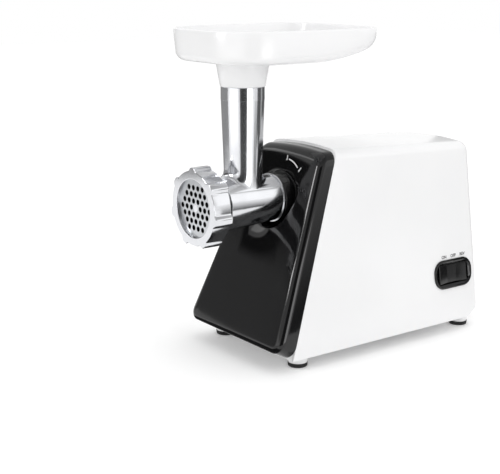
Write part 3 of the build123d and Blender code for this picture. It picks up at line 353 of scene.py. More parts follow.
# Stacked laminations: the edges of thin sheets, drawn out round the stack.
lamination_steel = finish(
    "steel_laminations", ("#8A8D92", "#6E7176"), (0.38, 0.5), 8, 0.5, 0.02, METAL, stretch=(0.02, 1, 0.02)
)
# Enamelled copper wire: orange-brown under a clear varnish.
copper = finish(
    "copper_enamelled", ("#C77B4A", "#A9602F"), (0.24, 0.36), 5, 0.8, 0.05, METAL, stretch=(1, 0.1, 1)
)
# Sintered bronze: yellow-brown and oily.
bronze = finish("bronze_sintered", ("#B08D4E", "#9C7A3E"), (0.35, 0.48), 4, 0.25, 0.012, METAL)

# %% [markdown]
# ## Mesh helpers
#
# Most of these shells are rings of points joined by quads: a tray is its plan at many depths, a turned
# barrel is a circle at many places along its axis. A few functions round the corners of an outline, move
# it inwards, and join a list of rings. Sizes are in millimetres, as on a drawing, and become metres only
# where a mesh is made.

# %% Rounding an outline
NEARLY_HALF = 0.49


def soften(corners, radii, steps=8):
    """A closed outline with its corners rounded; a corner with radius 0 stays one point."""
    points = []
    for k, corner in enumerate(corners):
        here = Vector(corner)
        before = Vector(corners[k - 1]) - here
        after = Vector(corners[(k + 1) % len(corners)]) - here
        if radii[k] == 0:
            points.append(here)
            continue
        half = before.angle(after) / 2
        reach = min(radii[k] / math.tan(half), NEARLY_HALF * before.length, NEARLY_HALF * after.length)
        radius = reach * math.tan(half)
        before.normalize()
        after.normalize()
        centre = here + (before + after).normalized() * (radius / math.sin(half))
        start = here + before * reach - centre
        end = here + after * reach - centre
        sweep = math.pi - 2 * half
        for step in range(steps + 1):
            share = step / steps
            turn = start * math.sin((1 - share) * sweep) + end * math.sin(share * sweep)
            points.append(centre + turn / math.sin(sweep))
    return points


def rounded(*table, steps):
    """The outline that rows of (corner, radius) describe."""
    return soften([corner for corner, radius in table], [radius for corner, radius in table], steps)


def quarter(steps=5):
    """Sine and cosine from 0 to 90 degrees, for a rounded edge."""
    angles = [math.pi / 2 * k / steps for k in range(steps + 1)]
    return [(math.sin(a), math.cos(a)) for a in angles]


square = soften(box_corners(10, 10), [2] * 4)
print("a rounded square of", len(square), "points")

# %% Changing an outline
def divide(outline, longer_than, parts):
    """The outline with each long edge cut into a number of parts."""
    fine = []
    for k, here in enumerate(outline):
        there = outline[(k + 1) % len(outline)]
        pieces = parts if (there - here).length > longer_than else 1
        fine += [here.lerp(there, p / pieces) for p in range(pieces)]
    return fine


def inset(outline, distance):
    """A counter-clockwise outline moved inwards, point by point."""
    moved = []
    for k, here in enumerate(outline):
        ahead = (outline[(k + 1) % len(outline)] - here).normalized()
        behind = (here - outline[k - 1]).normalized()
        along = (ahead + behind).normalized()
        moved.append(here + Vector((-along.y, along.x)) * (distance / along.dot(ahead)))
    return moved


def toward(outline, centre, radius):
    """The points of a circle in the directions of an outline's points."""
    return [Vector(centre) + (p - Vector(centre)).normalized() * radius for p in outline]


def between(first, second, count):
    """Outlines evenly spaced between two others."""
    steps = [k / (count + 1) for k in range(1, count + 1)]
    return [[a.lerp(b, share) for a, b in zip(first, second)] for share in steps]


print("1 mm inside the square:", inset(square, 1)[0])

# %% From rings to a mesh
def shape(name, points, faces):
    """A mesh object from points in millimetres, with its faces turned outwards."""
    mesh = bpy.data.meshes.new(name)
    mesh.from_pydata([Vector(p) * MM for p in points], [], faces)
    work = bmesh.new()
    work.from_mesh(mesh)
    bmesh.ops.recalc_face_normals(work, faces=work.faces)
    work.to_mesh(mesh)
    work.free()
    return add_object(name, mesh)


def loft(name, rings, closed=True):
    """Quads between rings; a closed loft joins the last ring to the first, else both get a cap."""
    count = len(rings[0])
    points = [p for ring in rings for p in ring]
    faces = []
    for row in range(len(rings) if closed else len(rings) - 1):
        low = row * count
        high = (row + 1) % len(rings) * count
        for k in range(count):
            following = (k + 1) % count
            faces.append((low + k, low + following, high + following, high + k))
    if not closed:
        faces.append(tuple(reversed(range(count))))
        faces.append(tuple(range(len(points) - count, len(points))))
    return shape(name, points, faces)


def circle(steps):
    """Angles all round, in equal steps."""
    return [2 * math.pi * k / steps for k in range(steps)]


def turned(name, profile, place, closed=True, steps=96):
    """A profile of (along, radius) turned about an axis; place says where that axis is."""
    rings = []
    for along, radius in profile:
        rings.append([place(along, radius * math.cos(a), radius * math.sin(a)) for a in circle(steps)])
    return loft(name, rings, closed)


HEAD_HEIGHT = 157.0


def barrel_axis(along, across, up):
    """A point about the barrel's axis, which runs along Y."""
    return (across, along, HEAD_HEIGHT + up)


print("barrel axis", HEAD_HEIGHT, "mm above the floor")

# %% Cutting, joining and dressing
def baked(made):
    """The mesh that an object shows, modifiers and all."""
    bpy.context.view_layer.update()
    return bpy.data.meshes.new_from_object(made.evaluated_get(bpy.context.evaluated_depsgraph_get()))


def curve_mesh(curve):
    """The mesh of a filled curve or of type."""
    drawn = add_object("drawn", curve)
    mesh = baked(drawn)
    bpy.data.objects.remove(drawn)
    return mesh


def combine(piece, tool, operation):
    """Cuts a tool from a piece, or adds it, and removes the tool."""
    modifier = piece.modifiers.new("combine", "BOOLEAN")
    modifier.operation = operation
    modifier.object = tool
    result = baked(piece)
    piece.modifiers.clear()
    piece.data = result
    bpy.data.objects.remove(tool)


def join(piece, *others):
    """Puts the meshes of other objects into a piece."""
    work = bmesh.new()
    for each in (piece, *others):
        work.from_mesh(each.data)
    work.to_mesh(piece.data)
    work.free()
    for each in others:
        bpy.data.objects.remove(each)
    return piece


def dress(piece, material, body, slot, *stands_for, sharp=32):
    """Smooths a piece, gives it its finish and its body, and hides the nodes it stands for."""
    piece.data.materials.clear()
    piece.data.materials.append(material)
    piece.data.shade_smooth()
    piece.data.set_sharp_from_angle(angle=math.radians(sharp))
    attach(piece, body)
    if stands_for:
        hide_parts(*stands_for)
    print(piece.name, len(piece.data.polygons), "faces,", material.name)


# %% [markdown]
# ## Tray
#
# The tray is one moulding: a rounded basin whose floor rises to the rear, with a neck below that slips
# over the feed tube. It is drawn as one closed loop of rings, from the rim down the outside, in under the
# floor to the neck, up through the throat and out again over the inside, so the wall has a true thickness.

# %% Tray plan and floor
TRAY_FLOOR, TRAY_RIM = 294.2, 325.0
TRAY_FRONT, TRAY_REAR, TRAY_HALF = -156.2, 19.4, 71.0
TRAY_CORNERS = (46, 46, 26, 26)
TRAY_WALL, REAR_WALL = 2.4, 10.0
TRAY_DRAFT = math.tan(math.radians(5.0))
TRAY_BEND = TUBE_Y + 34.0
EDGE_ROUND = 9.0
LONG_EDGE = 12
tail_run = TRAY_REAR + EDGE_ROUND - TRAY_BEND
tail_rise = TRAY_RIM - REAR_WALL - TRAY_FLOOR
floor_radius = (tail_run**2 + tail_rise**2) / (2 * tail_rise)


def floor_height(y):
    """Height of the tray's floor outside: flat at the front, then a rising arc."""
    run = max(0.0, y - TRAY_BEND)
    return TRAY_FLOOR + floor_radius - math.sqrt(floor_radius**2 - run**2)


tray_sides = trapezium(TRAY_HALF, TRAY_FRONT, TRAY_HALF, TRAY_REAR)
tray_plan = divide(soften(tray_sides, TRAY_CORNERS, steps=20), LONG_EDGE, 16)
print("tray plan of", len(tray_plan), "points")

# %% Rings of the tray
def tray_ring(shift, rise):
    """A ring of the tray: how far in and how high each point of the plan goes."""
    moved = [p + (q - p) * shift(p) for p, q in zip(tray_plan, inset(tray_plan, 1.0))]
    return [(p.x, p.y, rise(p)) for p in moved]


def wall_run(p, wall):
    """How far in the leaning wall ends."""
    return wall + (TRAY_RIM - floor_height(p.y) - EDGE_ROUND) * TRAY_DRAFT


def basin_rings(wall):
    """Rings round the edge of the floor, outside or inside."""
    bend = EDGE_ROUND - wall
    rings = []
    for s, c in quarter(8):
        rings.append(
            tray_ring(
                lambda p: wall_run(p, wall) + bend * (1 - c),
                lambda p: floor_height(p.y) + wall + bend * (1 - s),
            )
        )
    return rings


def flat_rings(outer_ring, radius, wall, count=6):
    """Rings across the floor, from its edge to a circle round the throat."""
    edge = [Vector(p[:2]) for p in outer_ring]
    hole = toward(edge, (0, TUBE_Y), radius)
    rows = between(edge, hole, count) + [hole]
    return [[(p.x, p.y, floor_height(p.y) + wall) for p in row] for row in rows]


def throat_ring(radius, height):
    """A circle about the feed tube, with as many points as the plan."""
    return [(p.x, p.y, height) for p in toward(tray_plan, (0, TUBE_Y), radius)]


outer_basin = basin_rings(0.0)
inner_basin = basin_rings(TRAY_WALL)
print("basin rings:", len(outer_basin))

# %% Tray shell
SHOULDER, SEAT_GAP, FOOT_BREAK = 270.4, 0.05, 0.5
NECK, NECK_ROUND, NECK_FOOT = 25.7, 3.0, 22.3
SOCKET, SOCKET_TOP, TUBE_BORE = 19.3, 283.7, 16.5
THROAT, LIP, FLOOR_HOLE = 19.2, 2.0, 21.4
rim_round = TRAY_WALL / 2
rim_outside, rim_inside = [], []
for s, c in quarter(4):
    height = TRAY_RIM - rim_round * (1 - c)
    rim_outside.append(tray_ring(lambda p: rim_round * (1 - s), lambda p: height))
    rim_inside.append(tray_ring(lambda p: TRAY_WALL - rim_round * (1 - s), lambda p: height))
neck = [throat_ring(NECK + NECK_ROUND * (1 - s), TRAY_FLOOR - NECK_ROUND * (1 - c)) for s, c in quarter(5)]
neck += [throat_ring(NECK_FOOT, SHOULDER + FOOT_BREAK)]
neck += [throat_ring(radius, SHOULDER + SEAT_GAP) for radius in (NECK_FOOT - 0.4, SOCKET + 0.5)]
socket = [throat_ring(SOCKET, SHOULDER + FOOT_BREAK), throat_ring(SOCKET, SOCKET_TOP)]
socket += [throat_ring(TUBE_BORE, SOCKET_TOP)]
inside = TRAY_FLOOR + TRAY_WALL
throat = [throat_ring(THROAT + LIP * (1 - c), inside - LIP * (1 - s)) for s, c in quarter(4)]
inside_floor = flat_rings(inner_basin[-1], FLOOR_HOLE, TRAY_WALL)
tray_rings = rim_outside + outer_basin + flat_rings(outer_basin[-1], NECK + NECK_ROUND, 0.0)
tray_rings += neck + socket + throat + inside_floor[::-1] + inner_basin[::-1] + rim_inside[:0:-1]
dress(loft("tray_shell", tray_rings), white_abs, "tray", "white_abs", "hopper_tray", sharp=40)

# %% [markdown]
# ## Grinding head
#
# Barrel, flange and feed tube are one aluminium casting. The barrel is a turned profile.
# The tube is a stack of circles that spread at the foot to a rounded square and run out on the barrel, as
# a saddle does. The two are joined by a boolean and the bores are cut last, so that no inner wall is left.

# %% Barrel
MOUTH_FRONT, THREAD_REAR, FLANGE_REAR = -157.9, -141.3, -67.1
THREAD, FLANGE, SPIGOT = 33.6, 24.4, 20.6
BARREL_FRONT, BARREL_REAR = 27.0, 23.0
BARREL_START, FLANGE_FRONT, SPIGOT_END = THREAD_REAR + 6.6, FLANGE_REAR - 2.4, FLANGE_REAR + 25
barrel_profile = rounded(
    ((MOUTH_FRONT, 0), 0), ((MOUTH_FRONT, THREAD), 0.5),
    ((THREAD_REAR, THREAD), 0.8), ((BARREL_START, BARREL_FRONT), 3.0),
    ((FLANGE_FRONT, BARREL_REAR + 0.2), 0.15), ((FLANGE_FRONT, FLANGE), 0.15),
    ((FLANGE_REAR, FLANGE), 0.4), ((FLANGE_REAR, SPIGOT), 0.2),
    ((SPIGOT_END, SPIGOT), 0.6), ((SPIGOT_END, 0), 0),
    steps=6,
)
head = turned("head_casting_polished", barrel_profile[1:-1], barrel_axis, closed=False, steps=128)


def barrel_radius(y):
    """Radius of the barrel between the thread and the flange."""
    share = (y - BARREL_START) / (FLANGE_FRONT - BARREL_START)
    return BARREL_FRONT + (BARREL_REAR - BARREL_FRONT) * share


print("barrel radius under the tube:", round(barrel_radius(TUBE_Y), 2), "mm")

# %% Saddle of the feed tube
TUBE_RADIUS, TUBE_TAPER = 21.5, 1.16 * math.tan(math.radians(1.9))
LAND = SHOULDER - 13.0
SADDLE_TOP, SADDLE_HALF, SADDLE_RISE, SADDLE_ROWS = 190.0, 22.5, 1.5, 14
SINK, SINK_DEPTH = 0.86, 5.0
tube_angles = circle(128)


def tube_radius(height):
    """Outer radius of the feed tube, which narrows downwards from its land."""
    return TUBE_RADIUS - max(0.0, LAND - height) * TUBE_TAPER


def tube_ring(radius, height):
    """A circle of the feed tube."""
    return [Vector((radius * math.cos(a), TUBE_Y + radius * math.sin(a), height)) for a in tube_angles]


saddle_start = tube_ring(tube_radius(SADDLE_TOP), SADDLE_TOP)
saddle_end = []
for a in tube_angles:
    reach = SADDLE_HALF / (abs(math.cos(a)) ** 4 + abs(math.sin(a)) ** 4) ** 0.25
    x = reach * math.cos(a)
    y = TUBE_Y + reach * math.sin(a)
    saddle_end.append(Vector((x, y, HEAD_HEIGHT + math.sqrt(barrel_radius(y) ** 2 - x**2))))
saddle = []
for step in range(SADDLE_ROWS + 1):
    t = step / SADDLE_ROWS
    row = []
    for first, last in zip(saddle_start, saddle_end):
        bend = Vector((first.x, first.y, last.z + SADDLE_RISE))
        row.append(first * (1 - t) ** 2 + bend * (2 * t * (1 - t)) + last * t**2)
    saddle.append(row)
sunk = [Vector((SINK * p.x, TUBE_Y + SINK * (p.y - TUBE_Y), p.z - SINK_DEPTH)) for p in saddle_end]
saddle.append(sunk)
print("saddle of", len(saddle), "rings")

# %% Feed tube and bores
TUBE_TOP, STUB, STUB_BREAK, LAND_STEP = 283.4, 19.0, 0.6, 0.15
CHAMBER, AUGER_BORE, SHAFT_BORE, SPIGOT_BORE = 31.3, 20.0, 10.45, 17.0
tube_rings = [tube_ring(STUB - STUB_BREAK, TUBE_TOP), tube_ring(STUB, TUBE_TOP - STUB_BREAK)]
tube_rings += [tube_ring(STUB, SHOULDER), tube_ring(TUBE_RADIUS - 0.5, SHOULDER)]
tube_rings += [tube_ring(TUBE_RADIUS, h) for h in (SHOULDER - 0.5, SHOULDER - 1.2, LAND + 0.6, LAND + 0.1)]
tube_rings += [tube_ring(tube_radius(h) - LAND_STEP, h) for h in (LAND, LAND - 0.5, 250.0, 230.0, 210.0)]
combine(head, loft("tube", tube_rings + saddle, closed=False), "UNION")
chamber = [(MOUTH_FRONT - 1, CHAMBER), (-146.5, CHAMBER), (-140.8, AUGER_BORE), (FLANGE_REAR - 7, AUGER_BORE)]
combine(head, turned("barrel_bore", chamber, barrel_axis, closed=False), "DIFFERENCE")
spigot = [(FLANGE_REAR - 8, SHAFT_BORE), (FLANGE_REAR, SHAFT_BORE)]
spigot += [(FLANGE_REAR, SPIGOT_BORE), (SPIGOT_END + 1, SPIGOT_BORE)]
combine(head, turned("spigot_bore", spigot, barrel_axis, closed=False), "DIFFERENCE")
feed_bore = [tube_ring(TUBE_BORE, 160.0), tube_ring(TUBE_BORE, 290.0)]
combine(head, loft("tube_bore", feed_bore, closed=False), "DIFFERENCE")
dress(head, cast_aluminium, "head", "cast_aluminium", "head_casting", sharp=38)

# %% [markdown]
# ## Ring nut and cutting plate
#
# The nut is a ring with seven lobes for the hand. Its outline is a circle whose radius rises and falls
# smoothly. The plate is a disc with three rings of holes on a hexagonal grid, drawn as one filled curve,
# because a curve cuts all its holes at once.

# %% Ring nut
NUT_FRONT, NUT_REAR = -161.5, -141.9
NUT_RADIUS, NUT_BORE, NUT_MOUTH = 36.3, 33.9, 28.4
NUT_ROUND, NUT_LIP = 0.8, 3.2
LOBES, LOBE_RISE = 7, 3.2
LOBE_TURN, LOBE_FLAT, LOBE_END = 91.5, 3.4, 10.2
nut_angles = circle(LOBES * 48)


def lobe_radius(angle):
    """Radius of the nut's outline at an angle, smooth from lobe to ring."""
    period = 360 / LOBES
    off = abs((math.degrees(angle) - LOBE_TURN + period / 2) % period - period / 2)
    share = min(1.0, max(0.0, (off - LOBE_FLAT) / (LOBE_END - LOBE_FLAT)))
    return NUT_RADIUS + LOBE_RISE * (1 - share * share * (3 - 2 * share))


def nut_ring(y, radius=None, less=0.0):
    """A ring of the nut: a circle of a radius, or its lobed outline less a distance."""
    reach = [radius if radius else lobe_radius(a) - less for a in nut_angles]
    return [barrel_axis(y, r * math.cos(a), r * math.sin(a)) for a, r in zip(nut_angles, reach)]


mouth_profile = ((0.6, NUT_MOUTH), (0.15, 28.55), (0.0, 28.9), (0.0, 29.1), (0.0, 33.5))
nut_rings = [nut_ring(NUT_FRONT + back, radius) for back, radius in mouth_profile]
nut_rings += [nut_ring(NUT_FRONT, less=1.0)]
nut_rings += [nut_ring(NUT_FRONT + NUT_ROUND * (1 - c), less=NUT_ROUND * (1 - s)) for s, c in quarter(5)]
nut_rings += [nut_ring(NUT_REAR - NUT_ROUND * (1 - s), less=NUT_ROUND * (1 - c)) for s, c in quarter(4)]
nut_rings += [nut_ring(NUT_REAR, NUT_BORE + 0.4), nut_ring(NUT_REAR - 0.4, NUT_BORE)]
nut_rings += [nut_ring(NUT_FRONT + NUT_LIP, radius) for radius in (NUT_BORE, NUT_MOUTH)]
dress(loft("ring_nut_lobed", nut_rings), cast_aluminium, "ring_nut", "cast_aluminium", "ring_nut", sharp=40)

# %% Cutting plate
PLATE_FRONT, PLATE_REAR, PLATE_RADIUS = -158.2, -153.2, 31.0
KEY_HOLE, HOLE_RADIUS, HOLE_PITCH, HOLE_ROWS = 4.06, 2.55, 7.55, 3
EDGE_BREAK = 0.2
plate_curve = bpy.data.curves.new("plate_outline", "CURVE")
plate_curve.dimensions = "2D"
plate_curve.fill_mode = "BOTH"
plate_curve.extrude = ((PLATE_REAR - PLATE_FRONT) / 2 - EDGE_BREAK) * MM
plate_curve.bevel_depth = EDGE_BREAK * MM
plate_curve.bevel_resolution = 1
holes = []
for row in range(-HOLE_ROWS, HOLE_ROWS + 1):
    count = 2 * HOLE_ROWS + 1 - abs(row)
    for k in range(count):
        across = (k - (count - 1) / 2) * HOLE_PITCH
        if row or across:
            holes.append((across, row * HOLE_PITCH * math.sqrt(3) / 2, HOLE_RADIUS + EDGE_BREAK, 40))
outline_and_key = [(0.0, 0.0, PLATE_RADIUS - EDGE_BREAK, 128), (0.0, 0.0, KEY_HOLE + EDGE_BREAK, 48)]
for across, up, radius, steps in outline_and_key + holes:
    spline = plate_curve.splines.new("POLY")
    spline.points.add(steps - 1)
    spline.use_cyclic_u = True
    for a, point in zip(circle(steps), spline.points):
        point.co = ((across + radius * math.cos(a)) * MM, (up + radius * math.sin(a)) * MM, 0, 1)
print("plate holes:", len(holes))

# %% Plate in place
plate_mesh = curve_mesh(plate_curve)
facing_front = Matrix(((1, 0, 0), (0, 0, -1), (0, 1, 0))).to_4x4()
plate_middle = Vector((0, (PLATE_FRONT + PLATE_REAR) / 2, HEAD_HEIGHT)) * MM
plate_mesh.transform(Matrix.Translation(plate_middle) @ facing_front)
plate = add_object("cutting_plate_ground", plate_mesh)
dress(plate, stainless_steel, "head", "stainless_steel", "cutting_plate", sharp=25)
# Faces that don't look along the axis (the walls of the holes and the plate's rim) take the dark steel:
# painted shade.
plate.data.materials.append(bore_shade_steel)
for face in plate.data.polygons:
    if abs(face.normal.y) < 0.5:
        face.material_index = 1

# %% [markdown]
# ## Front panel and collar
#
# The panel is a slab that leans back with the housing, with a wide round on its front edge and a smooth dip
# where the level collar comes through. Its rings follow one outline seen from the front, moved inwards and
# forward step by step, so the round keeps one radius all the way. The collar is turned.

# %% Housing sizes
SIDE_LEAN = math.radians(8.35)
SIDE_SLOPE, SIDE_COSINE = math.tan(SIDE_LEAN), math.cos(SIDE_LEAN)
FRONT_SLOPE = math.tan(math.radians(21.1))
ROOF_SLOPE = math.tan(math.radians(2.45))
FLOOR_HALF = 81.6
COVER_FRONT, SEAM_LEAD = -32.5, 12.4
ROOF_FRONT, ROOF_CROWN = 206.675, 3.0


def half_width(height, less=0.0):
    """Half of the housing's width at a height."""
    return FLOOR_HALF - height * SIDE_SLOPE - less / SIDE_COSINE


def seam_y(height):
    """Place of the leaning seam between panel and housing."""
    return COVER_FRONT - SEAM_LEAD + (height - HEAD_HEIGHT) * FRONT_SLOPE


def roof_height(y):
    """Height of the roof's edges, which falls to the rear."""
    return ROOF_FRONT - (y - COVER_FRONT) * ROOF_SLOPE


def crowned(outline, half):
    """Lifts the roof of an outline to a low arch."""
    raised = []
    for p in outline:
        arch = ROOF_CROWN * max(0.0, 1 - (p.x / half) ** 2)
        raised.append(Vector((p.x, p.y + arch * (p.y > HEAD_HEIGHT))))
    return raised


print("seam at the axis:", round(seam_y(HEAD_HEIGHT), 2), "mm")

# %% Face of the panel
PANEL_FOOT, PANEL_HEEL, PANEL_TOP = 19.5, 13.4, 203.885
PANEL_DEPTH, PANEL_WALL, PANEL_ROUND = 17.4, 3.0, 8.0
PANEL_CORNERS = (12, 12, 13, 13)
FACE_TAPER = 0.0241
HOLE, DISH, DISH_FLOOR = 26.3, 31.0, -52.4
AXIS = Vector((0, HEAD_HEIGHT))


def panel_plan(foot):
    """The panel seen from the front, down to a foot height."""
    high = half_width(PANEL_TOP)
    corners = trapezium(half_width(foot), foot, high, PANEL_TOP)
    return crowned(divide(soften(corners, PANEL_CORNERS, steps=12), LONG_EDGE, 14), high)


def flat_y(height):
    """Place of the flat face, which leans a little more than the seam."""
    return seam_y(height) - PANEL_DEPTH - FACE_TAPER * (PANEL_TOP - height)


def face_y(p):
    """Place of the face at a point, with the dish round the collar."""
    flat = flat_y(p.y)
    share = min(1.0, max(0.0, (DISH - (p - AXIS).length) / (DISH - HOLE)))
    return flat + max(0.0, DISH_FLOOR - flat) * share**2 * (3 - 2 * share)


print("face at the axis:", round(flat_y(HEAD_HEIGHT), 2), "mm")

# %% Front panel
panel_back = panel_plan(PANEL_HEEL)
panel_front = panel_plan(PANEL_FOOT)
panel_rings = [[(p.x, seam_y(p.y), p.y) for p in panel_back]]
for s, c in quarter(10):
    edge = inset(panel_front, PANEL_ROUND * (1 - c))
    panel_rings.append([(p.x, flat_y(p.y) + PANEL_ROUND * (1 - s), p.y) for p in edge])
face_edge = inset(panel_front, PANEL_ROUND)
dish_edge = [AXIS + (p - AXIS).normalized() * min(DISH, (p - AXIS).length - 1) for p in face_edge]
hole_edge = toward(face_edge, AXIS, HOLE)
face_rows = between(face_edge, dish_edge, 2) + [dish_edge] + between(dish_edge, hole_edge, 12) + [hole_edge]
panel_rings += [[(p.x, face_y(p), p.y) for p in row] for row in face_rows]
panel_rings += [[(p.x, face_y(p) + PANEL_WALL, p.y) for p in row] for row in face_rows[::-1]]
panel_rings.append([(p.x, seam_y(p.y), p.y) for p in inset(panel_back, PANEL_WALL)])
dress(loft("front_panel_gloss", panel_rings), black_abs, "base", "black_abs", "front_panel", sharp=40)

# %% Collar
collar_profile = rounded(
    ((-67.0, 20.9), 0.3), ((-67.0, 24.2), 0.8), ((-53.8, 24.2), 0.3), ((-53.8, 25.4), 0.7),
    ((-36.5, 26.0), 0.3), ((-36.5, 34.0), 0.5), ((COVER_FRONT, 34.0), 0.3), ((COVER_FRONT, 20.9), 0.3),
    steps=4,
)
dress(turned("collar_turned", collar_profile, barrel_axis), black_abs, "base", "black_abs", "bayonet_collar")

# %% [markdown]
# ## Housing
#
# The white body is one moulding with leaning sides, a roof that falls to the rear and rounded rear edges.
# A section is drawn at several places along its length. Towards the rear each section is moved in along
# a quarter circle, so all the edges round off together. A smaller copy is cut out to leave the wall.

# %% Sections of the housing
REAR_Y, BASE_HEIGHT = 161.5, 12.6
HOUSING_ROUND, HOUSING_WALL, SMALLEST_ROUND = 10.0, 2.8, 0.05
BEVEL_RISE, BEVEL_RUN = 13.0, 20.0
BEVEL_OUT = Vector((0, BEVEL_RISE, -BEVEL_RUN)).normalized()


def section(y, less, foot, lead=None):
    """The housing's outline at a place, moved in by a distance; with a lead it lies on the seam."""
    roof = roof_height(y) - less
    high = half_width(roof, less)
    corners = trapezium(half_width(foot, less), foot, high, roof)
    radius = max(SMALLEST_ROUND, HOUSING_ROUND - less)
    outline = crowned(divide(soften(corners, (0, 0, radius, radius), steps=10), LONG_EDGE, 14), high)
    return [(p.x, y if lead is None else seam_y(p.y) - lead, p.y) for p in outline]


def cut_bevel(solid, less):
    """Cuts the bevel under the rear wall and closes the cut."""
    work = bmesh.new()
    work.from_mesh(solid.data)
    everything = work.verts[:] + work.edges[:] + work.faces[:]
    on_plane = (Vector((0, REAR_Y, BASE_HEIGHT + BEVEL_RISE)) - BEVEL_OUT * less) * MM
    plane = {"plane_co": on_plane, "plane_no": BEVEL_OUT}
    cut = bmesh.ops.bisect_plane(work, geom=everything, clear_outer=True, **plane)
    edges = [e for e in cut["geom_cut"] if isinstance(e, bmesh.types.BMEdge)]
    bmesh.ops.edgeloop_fill(work, edges=edges)
    bmesh.ops.recalc_face_normals(work, faces=work.faces)
    work.to_mesh(solid.data)
    work.free()


def housing_solid(name, less, foot, lead):
    """The housing as a solid, or the hollow inside it."""
    rear_round = HOUSING_ROUND - less
    start = REAR_Y - less - rear_round
    rings = [section(seam_y(ROOF_FRONT), less, foot, lead)]
    rings += [section(start + rear_round * s, less + rear_round * (1 - c), foot) for s, c in quarter(10)]
    solid = loft(name, rings, closed=False)
    cut_bevel(solid, less)
    return solid


housing = housing_solid("housing_shell_moulded", 0.0, BASE_HEIGHT, 0.0)
combine(housing, housing_solid("hollow", HOUSING_WALL, -BASE_HEIGHT, 20.0), "DIFFERENCE")
print("housing walls:", len(housing.data.polygons), "faces")

# %% Openings in the housing
SWITCH_ORIGIN = Vector((72.353, 122.5, 63.0))
SWITCH_U = Vector((0, 1, 0))
SWITCH_V = Vector((-0.14521, 0, 0.98940))
SWITCH_N = Vector((0.98940, 0, 0.14521))
GLAND_X, GLAND_Z, GLAND_HOLE = -30.0, 46.0, 6.45
SLOTS, SLOT_MIDDLE, SLOT_PITCH = 7, 145.0, 8.0
THROUGH_REAR = (150.0, 170.0)


def on_side(p, out):
    """A point of the switch's plane, at a distance out from the right side."""
    return SWITCH_ORIGIN + SWITCH_U * p.x + SWITCH_V * p.y + SWITCH_N * out


def rectangle(width, height, radius):
    """A rounded rectangle about its middle."""
    return divide(soften(box_corners(width, height), [radius] * 4, steps=12), 2.5, 6)


def gland_axis(along, across, up):
    """A point about the axis of the cord gland, which runs along Y."""
    return (GLAND_X + across, along, GLAND_Z + up)


sleeve_hole = rectangle(49.6, 26.6, 6.3)
openings = loft("openings", [[on_side(p, out) for p in sleeve_hole] for out in (-8.0, 8.0)], closed=False)
slot_outline = rectangle(60.0, 3.2, 1.59)
cuts = []
for row in range(SLOTS):
    height = SLOT_MIDDLE + (row - SLOTS // 2) * SLOT_PITCH
    slot_rings = [[(p.x, y, height + p.y) for p in slot_outline] for y in THROUGH_REAR]
    cuts.append(loft("slot", slot_rings, closed=False))
gland_hole = [(y, GLAND_HOLE) for y in THROUGH_REAR]
cuts.append(turned("gland_hole", gland_hole, gland_axis, closed=False, steps=48))
combine(housing, join(openings, *cuts), "DIFFERENCE")
print("housing with openings:", len(housing.data.polygons), "faces")

# %% Sill and foot bosses
SILL_TOP, SILL_DEPTH, SILL_INSET = 29.8, 3.0, 1.0
FOOT_PLACES = [(x, y) for y in (-80.92, 145.1) for x in (-61.7, 61.7)]
sill_low, sill_high = half_width(BASE_HEIGHT, SILL_INSET), half_width(SILL_TOP, SILL_INSET)
sill_outline = trapezium(sill_low, BASE_HEIGHT, sill_high, SILL_TOP)
sill_rings = [[(x, seam_y(z) + back, z) for x, z in sill_outline] for back in (0.0, SILL_DEPTH)]
boss_profile = rounded(
    ((2.4, 3.1), 0.3), ((2.4, 9.2), 0.8),
    ((12.6, 10.8), 0.0), ((15.8, 10.8), 0.0), ((15.8, 3.1), 0.0),
    steps=5,
)


def upright(x, y):
    """Places a profile about a vertical axis."""
    return lambda along, across, deep: (x + across, y + deep, along)


bosses = [turned("boss", boss_profile, upright(x, y), steps=64) for x, y in FOOT_PLACES]
join(housing, loft("sill", sill_rings, closed=False), *bosses)
dress(housing, white_abs, "base", "white_abs", "housing_shell", sharp=35)

# %% [markdown]
# ## Switch
#
# The frame is a rounded outline that rises, turns over and goes down inside. The rocker is a wide V,
# extruded across with its edges rounded, so each wing catches the light on its own.

# %% Switch frame
BEZEL_TOP, BEZEL_ROUND, BEZEL_RIM = 1.8, 0.9, 2.2
SLEEVE_DEPTH, SURFACE_GAP = -12.5, 0.02
bezel_outer = rectangle(55.0, 31.0, 13.0)
window = rectangle(45.0, 22.0, 4.0)
sleeve = rectangle(49.0, 26.0, 6.0)
rim_edge = inset(bezel_outer, BEZEL_RIM)
bezel_rows = [(bezel_outer, SURFACE_GAP)]
for s, c in quarter(5):
    bezel_rows.append((inset(bezel_outer, BEZEL_ROUND * (1 - c)), BEZEL_TOP - BEZEL_ROUND * (1 - s)))
bezel_rows += [(rim_edge, BEZEL_TOP), (between(rim_edge, window, 9)[0], BEZEL_TOP - 0.15)]
bezel_rows += [(inset(window, -0.3), 0.5), (window, 0.1), (window, SLEEVE_DEPTH)]
bezel_rows += [(sleeve, SLEEVE_DEPTH), (sleeve, SURFACE_GAP)]
bezel_rings = [[on_side(p, out) for p in outline] for outline, out in bezel_rows]
dress(loft("switch_bezel_gloss", bezel_rings), black_abs, "base", "black_abs", "switch_bezel", sharp=30)

